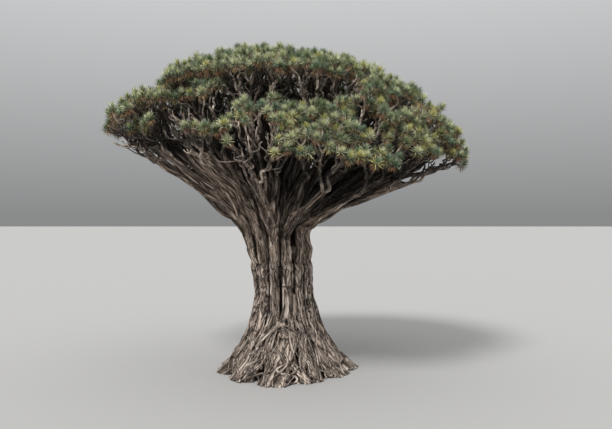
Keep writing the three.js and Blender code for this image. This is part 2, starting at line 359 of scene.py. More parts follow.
@dataclass(frozen=True)
class Opening:
    """A space in the crown that few rosettes grow in, or none, where the branches show."""

    azimuth: float
    width: float
    reach: Pair
    height: Pair
    share: float = 1.0

    def holds(self, points: Array) -> Array:
        """Says which points lie in the space.

        Args:
            points: Rows of points.

        Returns:
            True or False for each point.
        """
        apart = degrees_from(self.azimuth, np.degrees(np.arctan2(points[:, 1], points[:, 0])))
        reach = np.hypot(points[:, 0], points[:, 1])
        inside = (np.abs(apart) < self.width) & (reach > self.reach[0]) & (reach < self.reach[1])
        return inside & (points[:, 2] > self.height[0]) & (points[:, 2] < self.height[1])


@dataclass(frozen=True)
class Spray:
    """A few tips of a mass that stand apart from its patch, with rosettes or bare."""

    mass: str
    azimuth: float
    reach: float
    height: float
    count: int
    spread: Triple
    seed: int
    bare: bool = False

    def places(self) -> Array:
        """Returns the tips' places."""
        random = np.random.default_rng(self.seed)
        turn = math.radians(self.azimuth)
        middle = polar(turn, self.reach, self.height)
        along = np.array([-math.sin(turn), math.cos(turn), 0.0])
        out = np.array([math.cos(turn), math.sin(turn), 0.0])
        rows = np.linspace(-1, 1, self.count)[:, None] * along * self.spread[0]
        sides = random.uniform(-1, 1, (self.count, 2))
        return middle + rows + sides[:, :1] * out * self.spread[1] + sides[:, 1:] * UP * self.spread[2]


@dataclass(frozen=True)
class RimBend:
    """A part of the rim that is lowered, drawn in and tilted."""

    where: Bump
    drop: float
    inset: float
    tilt: float


@dataclass(frozen=True)
class CrownForm:
    """The crown's surface and the masses on it, as in the solids."""

    centre: Pair = (0.05, 0.1)
    top: float = 16.0
    apex: float = -0.9
    spans: Pair = (8.9, 10.5)
    depth_span: float = 8.9
    falls: Pair = (3.9, 4.25)
    power: float = 2.15
    depth_share: float = 0.9
    bends: tuple[RimBend, ...] = (
        RimBend(Bump(-72, 46), drop=1.9, inset=0.55, tilt=12),
        RimBend(Bump(-140, 27), drop=0.35, inset=1.15, tilt=-22),
        RimBend(Bump(180, 40), drop=0, inset=0.15, tilt=-14),
    )
    jitter: Triple = (3.5, 0.22, 0.16)
    openings: tuple[Opening, ...] = (
        Opening(-86, 30, (4.6, 9.0), (13.0, 14.3)),
        Opening(-131, 19, (4.5, 9.5), (10.0, 13.1)),
        Opening(-155, 14, (5.0, 9.5), (10.0, 12.2)),
        Opening(-111, 18, (4.5, 9.5), (9.0, 10.9)),
        Opening(-106, 14, (4.5, 9.5), (10.9, 13.1), 0.4),
        Opening(-84, 9, (4.5, 9.5), (9.0, 10.3)),
        Opening(-38, 14, (4.5, 9.5), (9.0, 10.6)),
        Opening(-67, 13, (4.5, 9.5), (9.0, 10.4)),
        Opening(178, 26, (7.0, 10.5), (10.2, 11.9), 0.85),
        Opening(-55, 5, (5.5, 8.2), (11.7, 12.4), 0.9),
        Opening(-33, 5, (6.2, 8.6), (11.9, 12.7), 0.9),
        Opening(-132, 14, (5.6, 7.6), (12.9, 13.5), 0.8),
    )
    sprays: tuple[Spray, ...] = (
        Spray("outer_09", -116, 7.3, 11.55, 6, (1.0, 0.3, 0.12), 1),
        Spray("outer_08", -150, 7.6, 12.1, 7, (1.3, 0.35, 0.2), 2),
        Spray("outer_12", -52, 6.6, 13.0, 9, (1.3, 0.6, 0.35), 3),
        Spray("outer_12", -46, 7.0, 12.3, 8, (1.2, 0.5, 0.3), 4),
        Spray("outer_13", -29, 7.5, 12.7, 9, (1.4, 0.5, 0.4), 5),
        Spray("outer_11", -66, 5.9, 12.7, 6, (0.9, 0.5, 0.3), 6),
        Spray("middle_04", 112, 6.2, 11.9, 10, (1.8, 0.4, 0.4), 7),
        Spray("middle_03", 86, 4.3, 14.2, 9, (1.7, 0.5, 0.25), 8),
        Spray("middle_05", 133, 5.2, 14.2, 9, (1.4, 0.5, 0.25), 9),
        Spray("outer_05", 113, 7.2, 12.7, 9, (1.6, 0.4, 0.3), 10),
        Spray("inner_02", 92, 3.3, 14.8, 20, (3.0, 1.1, 0.3), 13),
        Spray("inner_03", 148, 2.9, 15.0, 8, (1.2, 0.9, 0.25), 14),
        Spray("inner_03", 140, 2.6, 15.3, 6, (1.0, 0.4, 0.2), 21),
        Spray("inner_02", 88, 2.1, 15.35, 9, (2.4, 0.4, 0.2), 20),
        Spray("middle_03", 84, 4.7, 14.55, 12, (2.7, 0.5, 0.3), 16),
        Spray("inner_01", 38, 3.3, 14.75, 8, (1.2, 0.9, 0.25), 15),
        Spray("outer_02", 52, 6.0, 10.5, 12, (2.2, 0.7, 0.35), 11, True),
        Spray("outer_01", 2, 7.2, 10.7, 12, (1.5, 1.3, 0.3), 17, True),
        Spray("outer_02", 36, 5.0, 10.7, 9, (1.7, 0.8, 0.3), 22),
        Spray("outer_01", 11, 7.2, 10.95, 7, (1.2, 0.5, 0.2), 23),
        Spray("outer_12", -57, 7.4, 10.3, 9, (1.3, 0.5, 0.3), 24),
        Spray("middle_07", -136, 5.9, 14.3, 10, (1.8, 0.4, 0.2), 25),
        Spray("outer_07", 178, 7.7, 11.5, 10, (1.3, 0.9, 0.3), 19, True),
        Spray("outer_04", 105, 6.0, 11.0, 12, (2.2, 0.7, 0.5), 12, True),
    )

    def height(self, x: Array, y: Array) -> Array:
        """Returns the height of the crown's surface over points of the plan."""
        apart = np.maximum(np.hypot(x - self.apex, y), 0.001)
        right = 0.5 * (1 + (x - self.apex) / apart)
        span = self.spans[0] + (self.spans[1] - self.spans[0]) * right
        fall = self.falls[0] + (self.falls[1] - self.falls[0]) * right
        return self.top - fall * np.hypot((x - self.apex) / span, y / self.depth_span) ** self.power

    def masses(self, trunk: TrunkForm) -> list[Mass]:
        """Lays out the masses in their rings.

        Args:
            trunk: The trunk, whose fork carries the limbs.

        Returns:
            The masses, from the top of the crown outwards.
        """
        random = seeded(11)
        found: list[Mass] = []
        for ring in RINGS:
            for i in range(ring.count):
                shifts = [2 * j * (next(random) - 0.5) if ring.count > 1 else 0 for j in self.jitter]
                found.append(self._mass(ring, i, shifts, trunk, 100 + len(found)))
        return found

    def _mass(self, ring: Ring, i: int, shifts: Sequence[float], trunk: TrunkForm, seed: int) -> Mass:
        """Lays out one mass.

        Args:
            ring: The ring that it belongs to.
            i: Its place in the ring.
            shifts: How far its azimuth, reach and height are off the ring's.
            trunk: The trunk, whose fork carries its limb.
            seed: Seeds the limb's sway.

        Returns:
            The mass.
        """
        degrees = ring.turn + 360 / ring.count * i + shifts[0]
        azimuth = math.radians(degrees)
        bends = [(float(bend.where.at(degrees)), bend) for bend in self.bends if ring.name == "outer"]
        reach = ring.reach + shifts[1] - sum(share * bend.inset for share, bend in bends)
        x = self.centre[0] + reach * math.cos(azimuth)
        y = self.centre[1] + reach * self.depth_share * math.sin(azimuth)
        drop = sum(share * bend.drop for share, bend in bends)
        tilt = math.radians(ring.tilt + sum(share * bend.tilt for share, bend in bends))
        facing = polar(azimuth, math.sin(tilt), math.cos(tilt))
        downhill = polar(azimuth, math.cos(tilt), -math.sin(tilt))
        return Mass(
            ring=ring,
            name=f"{ring.name}_{i + 1:02d}" if ring.count > 1 else ring.name,
            centre=np.array([x, y, self.height(x, y) + shifts[2] - drop]),
            facing=facing,
            downhill=downhill,
            sideways=np.cross(facing, downhill),
            azimuth=azimuth,
            seat=polar(azimuth, ring.seat, 0.0) + trunk.middle(trunk.fork_height),
            seed=seed,
            lift=trunk.heading(),
        )


@dataclass
class Shade:
    """Painted shade on the bark, from 0 on the outermost limbs to 1 deep among them."""

    form: TrunkForm
    crown: CrownForm
    masses: list[Mass]
    near: Pair = (0.04, 0.46)
    far: Pair = (0.4, 2.4)
    shares: Pair = (0.6, 0.36)
    # The front of the limbs under the crown is left lighter: less painted shade, as if lit from the front.
    lit_from: Pair = (8.6, 9.8)
    lit_to: Pair = (12.2, 13.2)
    lit_depth: float = 1.9
    lit_under: float = 0.6
    lit_front: Bump = Bump(-88, 55)
    lit_least: float = 0.25
    blend: float = 15.0
    spread_height: float = 9.0
    valley: Pair = (7.5, 13.0)
    valley_rise: Pair = (5.4, 6.4)
    valley_fall: Pair = (9.0, 10.2)
    valley_depth: float = 0.42
    fading: Pair = (1.1, 5.5)
    places: int = 26

    def __post_init__(self) -> None:
        """Notes the reach of each outer limb by height."""
        self.limbs = []
        for mass in self.masses:
            if mass.outer:
                shares = np.linspace(0, mass.form.stem_share, self.places)
                limb = mass.limb(shares)
                offset = limb - self.axis(limb[:, 2])
                reach = np.hypot(offset[:, 0], offset[:, 1]) + mass.radius(shares)
                heights = np.append(limb[:, 2], limb[-1, 2] + self.fading[0])
                reach = np.append(reach, reach[-1] + self.fading[1])
                self.limbs.append((math.degrees(mass.azimuth), heights, reach))

    def axis(self, height: Array) -> Array:
        """Returns the middle of the funnel of limbs at heights."""
        top = self.form.fork_height
        low = self.form.middle(np.clip(height, 0, top))
        rise = smoothstep(top, self.spread_height, height)[..., None]
        return low * (1 - rise) + np.array([*self.crown.centre, 0.0]) * rise

    def edge(self, azimuth: Array, height: Array) -> Array:
        """Returns the reach of the outermost limbs at azimuths in radians and heights."""
        total, weight = np.zeros_like(height), np.full_like(height, 1e-9)
        for degrees, heights, reaches in self.limbs:
            apart = degrees_from(degrees, np.degrees(azimuth))
            share = np.exp(-((apart / self.blend) ** 2))
            total += share * np.interp(height, heights, reaches)
            weight += share
        top = self.form.fork_height
        return np.where(height < top, self.form.bare(azimuth, np.minimum(height, top)), total / weight)

    def at(self, points: Array, drop: float = 0.0) -> Array:
        """How deep in the painted shade points lie.

        Args:
            points: Points, in any number of rows.
            drop: How far the crown's surface lies lower over these points.

        Returns:
            The depth of shade at each point.
        """
        height = points[..., 2]
        offset = points - self.axis(height)
        azimuth = np.arctan2(offset[..., 1], offset[..., 0])
        reach = np.hypot(offset[..., 0], offset[..., 1])
        under = self.crown.height(points[..., 0], points[..., 1]) - drop - height
        lit = self.lit_depth * window(self.lit_from, self.lit_to, height)
        lit = lit * (self.lit_least + (1 - self.lit_least) * self.lit_front.at(np.degrees(azimuth)))
        apart = np.full_like(height, 180.0)
        for degrees, _, _ in self.limbs:
            apart = np.minimum(apart, np.abs(degrees_from(degrees, np.degrees(azimuth))))
        # Valleys between the outer limbs sink further into the painted shade.
        valley = window(self.valley_rise, self.valley_fall, height)
        valley = self.valley_depth * valley * smoothstep(*self.valley, apart)
        inwards = self.edge(azimuth, height) - reach - lit + valley
        depth = np.minimum(inwards, under - self.lit_under * lit)
        near, far = self.shares
        return near * smoothstep(*self.near, depth) + far * smoothstep(*self.far, depth)


def mesh_piece(
    name: str,
    points: Array,
    faces: Sequence[Array],
    values: dict[str, Array],
    smooth: bool = True,
) -> bpy.types.Object:
    """Makes a mesh object at the origin.

    Args:
        name: The piece's name.
        points: Rows of coordinates.
        faces: Rows of vertex numbers, one array for each number of sides.
        values: Numbers or vectors to keep at the points, by name.
        smooth: Whether faces are shaded smoothly.

    Returns:
        The object, linked to the scene.
    """
    mesh = bpy.data.meshes.new(name)
    mesh.vertices.add(len(points))
    mesh.vertices.foreach_set("co", np.ascontiguousarray(points, dtype=np.float32).ravel())
    loops = np.concatenate([rows.ravel() for rows in faces]).astype(np.int32)
    sides = np.concatenate([np.full(len(rows), rows.shape[1]) for rows in faces])
    starts = np.concatenate([[0], np.cumsum(sides)[:-1]]).astype(np.int32)
    mesh.loops.add(len(loops))
    mesh.loops.foreach_set("vertex_index", loops)
    mesh.polygons.add(len(sides))
    mesh.polygons.foreach_set("loop_start", starts)
    mesh.polygons.foreach_set("use_smooth", np.full(len(sides), smooth))
    for key, rows in values.items():
        kind, member = ("FLOAT_VECTOR", "vector") if rows.ndim == 2 else ("FLOAT", "value")
        layer = mesh.attributes.new(key, kind, "POINT")
        layer.data.foreach_set(member, np.ascontiguousarray(rows, dtype=np.float32).ravel())
    mesh.update(calc_edges=True)
    mesh.validate()
    piece = bpy.data.objects.new(name, mesh)
    bpy.context.scene.collection.objects.link(piece)
    return piece


def frames_along(path: Array) -> tuple[Array, Array]:
    """Two directions across a path at each of its points, turned as little as possible.

    Args:
        path: Rows of points.

    Returns:
        The first and second direction across, as rows.
    """
    ahead = unit(np.gradient(path, axis=0))
    across = np.empty_like(path)
    last = FIRST_ACROSS
    for i, heading in enumerate(ahead):
        last = unit(last - heading * (last @ heading))
        across[i] = last
    return across, np.cross(ahead, across)


def smoothed(path: Array, rounds: int) -> Array:
    """Evens out a path between its ends.

    Args:
        path: Rows of points.
        rounds: How often each point moves to the mean of itself and its neighbours.

    Returns:
        The smoother path.
    """
    path = path.copy()
    for _ in range(rounds):
        path[1:-1] = (path[:-2] + 2 * path[1:-1] + path[2:]) / 4
    return path


@dataclass
class Skin:
    """One piece of bark, gathered tube by tube: its points, faces and the values that its finish reads.

    The values are grain, a place on the straightened limb in metres, painted shade, from 0 on a ridge to 1
    deep in a crevice or among the limbs, and tone, which sets a limb apart from its neighbours.
    """

    name: str
    points: list[Array] = field(default_factory=list)
    faces: dict[int, list[Array]] = field(default_factory=lambda: {3: [], 4: []})
    values: dict[str, list[Array]] = field(default_factory=lambda: {"grain": [], "hollow": [], "tone": []})
    count: int = 0
    lobe_shade: float = 0.6
    grain_shift: float = 3.0
    even: float = 1e-6

    def add_rings(self, rings: Array, **values: Array) -> None:
        """Adds a closed tube whose rings are given, with a point at each end.

        Args:
            rings: Points by ring and side.
            values: The grain, painted shade and tone of each point.
        """
        steps, sides = rings.shape[:2]
        place = np.arange(steps * sides).reshape(steps, sides) + self.count
        turned = np.roll(place, -1, axis=1)
        quads = np.stack([place[:-1], turned[:-1], turned[1:], place[1:]], axis=-1).reshape(-1, 4)
        self.count += steps * sides + 2
        foot, head = np.full(sides, self.count - 2), np.full(sides, self.count - 1)
        self.faces[4].append(quads)
        self.faces[3].append(np.stack([turned[0], place[0], foot], axis=-1))
        self.faces[3].append(np.stack([place[-1], turned[-1], head], axis=-1))

        def with_ends(rows: Array) -> Array:
            """Returns the rings' values as rows, followed by the mean of each end."""
            ends = [rows[0].mean(axis=0)[None], rows[-1].mean(axis=0)[None]]
            return np.concatenate([rows.reshape(steps * sides, *rows.shape[2:]), *ends])

        self.points.append(with_ends(rings))
        for key, rows in values.items():
            self.values[key].append(with_ends(rows))

    def add_tube(
        self,
        path: Array,
        radii: Array,
        sides: int,
        shape: Callable[[Array, Array], Array] | None = None,
        tone: float = 0.0,
        offset: float = 0.0,
        shade: Callable[[Array], Array] | None = None,
    ) -> None:
        """Adds a tube along a path.

        Args:
            path: Rows of points.
            radii: The radius at each point.
            sides: How many sides the tube has.
            shape: Gives the share of the radius at places along and angles round, or None if round.
            tone: Sets the tube apart from its neighbours.
            offset: Shifts the grain, so that no two tubes look alike.
            shade: Gives how deep in the painted shade points lie.
        """
        across, beside = frames_along(path)
        angles = np.arange(sides) * FULL_TURN / sides
        along = np.concatenate([[0], np.cumsum(np.linalg.norm(np.diff(path, axis=0), axis=1))])
        shares = np.ones((len(path), sides)) if shape is None else shape(along[:, None], angles[None])
        reach = radii[:, None] * shares
        out = across[:, None] * np.cos(angles)[None, :, None]
        out = out + beside[:, None] * np.sin(angles)[None, :, None]
        rings = path[:, None] + out * reach[..., None]
        widest = float(radii.max())
        grain_x, grain_y = np.cos(angles) * widest + offset, np.sin(angles) * widest + offset
        grain_z = along[:, None] + self.grain_shift * offset
        grain = np.stack(np.broadcast_arrays(grain_x, grain_y, grain_z), axis=-1)
        low, high = shares.min(), shares.max()
        even = high - low < self.even
        # Painted shade: darker in the bundle's crevices, and deeper still among the limbs where shade is
        # given.
        hollow = np.zeros_like(shares) if even else (high - shares) / (high - low)
        if shade is not None:
            hollow = np.clip(self.lobe_shade * hollow + shade(rings), 0, 1)
        self.add_rings(rings, grain=grain, hollow=hollow, tone=np.full_like(shares, tone))

    def triangles(self) -> int:
        """Returns how many triangles the piece has so far."""
        return sum(len(rows) * (sides - 2) for sides, parts in self.faces.items() for rows in parts)

    def finished(self, material: bpy.types.Material) -> bpy.types.Object:
        """Makes the piece's object and gives it its material."""
        faces = [np.concatenate(rows) for rows in self.faces.values() if rows]
        values = {key: np.concatenate(rows) for key, rows in self.values.items()}
        piece = mesh_piece(self.name, np.concatenate(self.points), faces, values)
        piece.data.materials.append(material)
        LOG.info("%s: %d triangles", self.name, self.triangles())
        return piece


@dataclass(frozen=True)
class StrandHabit:
    """How far a strand may twist, how wide it sways, in how quick a wave, and how thick it grows."""

    twist: float
    sway: Pair
    wave: Pair
    half_width: Pair = (0, 0)
    lift: Pair = (0, 0)


class StrandKind(Enum):
    """Where a strand runs on the trunk, and its habit."""

    LIMB = StrandHabit(0.05, (0.02, 0.05), (0.8, 1.5))
    ROPE = StrandHabit(0.4, (0.03, 0.09), (0.9, 2.2), (0.06, 0.16), (0.0, 0.09))
    ROOT = StrandHabit(0.05, (0.015, 0.05), (1.6, 3.6), (0.09, 0.18), (-0.02, 0.12))


@dataclass(frozen=True)
class Strand:
    """One of the fused strands of the trunk, which runs up it in a shallow sway."""

    azimuth: float
    twist: float
    low: float
    high: float
    half_width: float
    lift: float
    sway: float
    wave: float
    phase: float
    tone: float
    ends: float = 0.55

    def azimuth_at(self, height: Array, top: float) -> Array:
        """Returns the strand's azimuth at heights, from its azimuth at the trunk's top."""
        sway = self.sway * np.sin(self.wave * height + self.phase)
        return self.azimuth + self.twist * (1 - height / top) + sway

    def presence(self, height: Array) -> Array:
        """Returns 1 where the strand is whole, and falls to 0 past its ends."""
        rise = smoothstep(self.low - self.ends, self.low, height) if self.low > 0 else 1.0
        return rise * (1 - smoothstep(self.high, self.high + self.ends, height))


@dataclass(frozen=True)
class Crack:
    """A deep, narrow gap between strands."""

    azimuth: float
    low: float
    high: float
    half_width: float
    depth: float
    lean: float = 0.0
    ends: float = 0.25

    def cut(self, azimuth: Array, height: Array, reach: Array) -> Array:
        """The depth that the gap takes off the trunk.

        Args:
            azimuth: Azimuths in radians.
            height: Heights.
            reach: The trunk's radius there.

        Returns:
            The depth at each place.
        """
        turn = azimuth - math.radians(self.azimuth) - self.lean * (height - self.low)
        apart = np.abs(wrapped(turn)) * reach / self.half_width
        low, high, ends = self.low, self.high, self.ends
        long = window((low - ends, low + ends), (high - ends, high + ends), height)
        return self.depth * long * np.exp(-(apart**4))


@dataclass
class Trunk:
    """The trunk: fused strands that spread into roots below and gather into limbs above."""

    form: TrunkForm
    masses: list[Mass]
    columns: int = 440
    rows: int = 208
    crowding: float = 1.12
    recess: float = 0.22
    limb_strands: tuple[Triple, ...] = ((0, 0.25, 0.03), (1, 0.2, 0.0))
    ropes: int = 66
    rope_lows: Pair = (-1.5, 4.4)
    rope_lengths: Pair = (2.2, 5.5)
    roots: int = 84
    root_tops: Pair = (0.7, 3.0)
    relief: float = 0.85
    round_mean: float = 0.6
    end_sink: float = 0.35
    wobble: float = 0.04
    wobble_pitch: float = 0.42
    squeeze: float = 0.12
    cut_depths: Pair = (0.075, 0.045)
    lump_height: float = 0.022
    lump_squeeze: float = 0.4
    inner_girth: float = 0.45
    cap_rings: int = 6
    fork_sink: float = 0.5
    fork_from: float = 5.1
    cracks: tuple[Crack, ...] = (
        Crack(-96, 2.95, 4.7, 0.075, 0.34, 0.03),
        Crack(-63, 4.1, 6.3, 0.085, 0.36, 0.045),
        Crack(-86, 2.35, 2.62, 0.09, 0.3, 0.0),
        Crack(-104, 1.0, 2.1, 0.06, 0.3, -0.05),
        Crack(-77, 0.2, 1.2, 0.1, 0.36, 0.02),
        Crack(-48, 0.4, 1.5, 0.08, 0.36, -0.04),
        Crack(-31, 0.2, 1.1, 0.1, 0.36, -0.03),
        Crack(-128, 0.1, 1.3, 0.1, 0.36, 0.05),
        Crack(-66, 1.7, 2.7, 0.05, 0.28, 0.04),
        Crack(-122, 3.2, 5.4, 0.05, 0.28, 0.05),
        Crack(-148, 0.4, 1.5, 0.08, 0.34, 0.0),
        Crack(-110, 0.1, 0.7, 0.07, 0.3, 0.0),
        Crack(-88, 0.1, 0.6, 0.06, 0.26, 0.0),
        Crack(12, 0.3, 1.6, 0.09, 0.36, 0.0),
        Crack(55, 0.3, 2.0, 0.09, 0.36, 0.02),
        Crack(98, 2.6, 4.8, 0.08, 0.36, 0.05),
        Crack(140, 0.3, 1.7, 0.09, 0.36, -0.02),
        Crack(170, 2.4, 3.9, 0.06, 0.34, 0.05),
    )
    plate: Bump = Bump(-76, 26)
    plate_ends: Pair = (2.6, 4.35)
    plate_soft: Pair = (0.3, 0.06)
    plate_slope: float = 2.2
    plate_edge: float = 0.6
    plate_sink: float = 0.03
    plate_tone: float = 1.5
    plate_grain: float = 0.7
    foot_tone: float = -0.5
    arch_height: float = 2.62
    arch_width: float = 34
    arch_ledge: float = 0.09
    arch_rim: float = 0.17
    arch_rim_drop: float = 0.16
    arch_rim_width: float = 0.15
    lid_rise: float = 0.3
    lid_hole: float = 0.12

    def strand(
        self,
        random: np.random.Generator,
        kind: StrandKind,
        azimuth: float,
        span: Pair,
        half_width: float | None = None,
        lift: float | None = None,
    ) -> Strand:
        """Lays out one strand.

        Args:
            random: Draws its thickness, twist, sway and tone.
            kind: Where it runs.
            azimuth: Its azimuth at the trunk's top, in radians.
            span: Its lowest and highest height.
            half_width: Half its width, or None to draw it and how far it stands out.
            lift: How far it stands out.

        Returns:
            The strand.
        """
        habit = kind.value
        if half_width is None:
            half_width, lift = random.uniform(*habit.half_width), random.uniform(*habit.lift)
        turned = 0.0 if kind is StrandKind.ROOT else math.radians(self.form.rib_twist)
        return Strand(
            azimuth=azimuth,
            twist=turned + random.uniform(-habit.twist, habit.twist),
            low=span[0],
            high=span[1],
            half_width=half_width,
            lift=lift,
            sway=random.uniform(*habit.sway),
            wave=random.uniform(*habit.wave),
            phase=random.uniform(0, FULL_TURN),
            tone=random.uniform(-1, 1),
        )

    def strands(self) -> list[Strand]:
        """Lays out the strands: one under each outer limb and between, then ropes over them, then roots."""
        random = np.random.default_rng(21)
        top = self.form.fork_height
        outer = [mass for mass in self.masses if mass.outer]
        found = []
        for offset, half_width, lift in self.limb_strands:
            for mass in outer:
                azimuth, span = mass.azimuth + offset * math.pi / len(outer), (0.0, top + 1)
                found.append(self.strand(random, StrandKind.LIMB, azimuth, span, half_width, lift))
        for i in range(self.ropes):
            low = random.uniform(*self.rope_lows)
            span = (max(0.0, low), low + random.uniform(*self.rope_lengths))
            azimuth = i * GOLDEN_ANGLE + random.uniform(-0.2, 0.2)
            found.append(self.strand(random, StrandKind.ROPE, azimuth, span))
        for i in range(self.roots):
            azimuth = i * FULL_TURN / self.roots + random.uniform(-0.05, 0.05)
            span = (0.0, random.uniform(*self.root_tops))
            found.append(self.strand(random, StrandKind.ROOT, azimuth, span))
        return found

    def surface(self) -> tuple[Array, Array, Array, Array, Array]:
        """Works out the trunk's surface on a grid of heights and azimuths.

        Returns:
            The azimuths, heights and radii, the azimuth without the strands' sway, and the tones.
        """
        height = self.form.fork_height * np.linspace(0, 1, self.rows)[:, None] ** self.crowding
        azimuth = np.linspace(0, FULL_TURN, self.columns, endpoint=False)[None]
        height, azimuth = np.broadcast_arrays(height, azimuth)
        smooth = self.form.radius(azimuth, height)
        best = np.full_like(smooth, -self.recess)
        straight = azimuth.copy()
        tone = np.zeros_like(smooth)
        wobble = ripples(polar(azimuth, smooth, height), self.wobble_pitch, 12, 9) * self.wobble
        for strand in self.strands():
            middle = strand.azimuth_at(height, self.form.fork_height)
            apart = wrapped(azimuth - middle) * smooth + wobble
            width = strand.half_width * (smooth / self.form.waist) ** 0.25
            presence = strand.presence(height)
            round_off = np.sqrt(np.clip(1 - (apart / width) ** 2, 0, None))
            rise = strand.lift - self.end_sink * (1 - presence)
            rise = rise + width * self.relief * (round_off - self.round_mean)
            over = (rise > best) & (round_off > 0) & (presence > 0)
            best = np.where(over, rise, best)
            tone = np.where(over, strand.tone, tone)
            straight = np.where(over, azimuth - (middle - strand.azimuth), straight)
        return azimuth, height, smooth + best, straight, tone

    def arch(self, azimuth: Array, height: Array) -> Array:
        """Returns how far the arch of roots on the front stands out: a rim with the roots below it."""
        apart = degrees_from(self.form.mound.azimuth, np.degrees(azimuth))
        crest = self.arch_height * np.sqrt(np.clip(1 - (apart / self.arch_width) ** 2, 0.0001, None))
        above = height - crest
        rim = np.exp(-(((above + self.arch_rim_drop) / self.arch_rim_width) ** 2))
        rim = rim * smoothstep(0.5, 1.3, height)
        return self.arch_ledge * (1 - smoothstep(-0.07, 0.07, above)) + self.arch_rim * rim

    def depth_of(self, reach: Array, shifts: tuple[int, ...]) -> Array:
        """How far each point lies behind its neighbours round the trunk.

        Args:
            reach: The radii by height and azimuth.
            shifts: How many columns away the neighbours are.

        Returns:
            The depth at each point.
        """
        blurred = reach
        for shift in shifts:
            blurred = (blurred + np.roll(blurred, shift, axis=1) + np.roll(blurred, -shift, axis=1)) / 3
        return blurred - reach

    def plate_at(self, azimuth: Array, height: Array) -> Array:
        """Returns how far the bare plate takes the bark's place, from 0 to 1."""
        low, high = self.plate_ends
        foot, head = self.plate_soft
        plate = self.plate.at(np.degrees(azimuth)) * smoothstep(low - foot, low + foot, height)
        plate = plate * (1 - smoothstep(high - head, high + head, height))
        return np.clip(plate * self.plate_slope - self.plate_edge, 0, 1)

    def grit(self, straight: Array, height: Array, bare: Array) -> tuple[Array, Array]:
        """Works out the finest relief of the bark.

        Args:
            straight: The azimuth without the strands' sway.
            height: Heights.
            bare: The trunk's radius without ribs and roots.

        Returns:
            How deep narrow cuts are, and how high lumps are.
        """
        girth = self.form.waist + self.inner_girth * (bare - self.form.waist)
        places = polar(straight, girth, height * self.squeeze)
        wide, narrow = self.cut_depths
        cuts = wide * grooves(places, 0.27, 0.2, 5) + narrow * grooves(places, 0.13, 0.26, 6)
        rough = 1 + 0.6 * (1 - smoothstep(1.5, 3.0, height))
        places = polar(straight, girth, height * self.lump_squeeze)
        return cuts, ripples(places, 0.26, 14, 7) * self.lump_height * rough

    def crevice_shade(self, reach: Array, bare: Array) -> Array:
        """Returns the painted shade of each point, from 0 to 1: darker in crevices and behind the smooth
        trunk.
        """
        behind = np.clip((bare - reach) / 0.7, -0.1, 0.45)
        depth = self.depth_of(reach, (1, 2, 3)) / 0.08 + self.depth_of(reach, (3, 6, 10)) / 0.26
        return np.clip(0.3 + depth + behind, 0, 1)

    def lid(self, edge: Array) -> Array:
        """Returns rings that close the trunk's top inside the fork, from its highest ring inwards."""
        cap = np.linspace(1, self.lid_hole, self.cap_rings)[1:, None]
        middle = self.form.middle(self.form.fork_height)
        rings = middle + (edge[None] - middle) * np.dstack([cap, cap, 1 + 0 * cap])
        return rings + UP * (self.lid_rise * (1 - cap**2))[..., None]

    def finished(self, finish: "BarkFinish") -> bpy.types.Object:
        """Builds the trunk with its bark, and lets it stand for the trunk's solid."""
        azimuth, height, reach, straight, tone = self.surface()
        bare = self.form.bare(azimuth, height)
        plate = self.plate_at(azimuth, height)
        reach = reach * (1 - plate) + (bare - self.plate_sink) * plate
        tone = tone * (1 - plate) + self.plate_tone * plate
        tone = tone + self.foot_tone * (1 - smoothstep(1.0, 3.0, height))
        reach = reach + self.arch(azimuth, height)
        for crack in self.cracks:
            reach = reach - crack.cut(azimuth, height, reach)
        cuts, lumps = self.grit(straight, height, bare)
        reach = reach - cuts * (1 - 0.75 * plate) + lumps * (1 - 0.8 * plate)
        # Painted shade in the bark's crevices.
        hollow = self.crevice_shade(reach, bare)
        reach = reach - self.fork_sink * smoothstep(self.fork_from, self.form.fork_height, height)
        rings = polar(azimuth, reach, height)
        rings[..., 0] += self.form.middle(height)[..., 0]
        lids = self.lid(rings[-1])
        grain = np.stack([np.cos(straight) * 1.6, np.sin(straight) * 1.6, height], axis=-1)
        grain = grain * (1 - self.plate_grain * plate)[..., None]
        self.reach = reach
        skin = Skin("trunk_bark")
        rows = len(lids)
        skin.add_rings(
            np.concatenate([rings, lids]),
            grain=np.concatenate([grain, np.repeat(grain[-1:], rows, axis=0)]),
            # The lid inside the fork is in full painted shade.
            hollow=np.concatenate([hollow, np.ones((rows, self.columns))]),
            tone=np.concatenate([tone, np.zeros((rows, self.columns))]),
        )
        piece = skin.finished(finish.material)
        return dress(piece, "bark", "trunk")


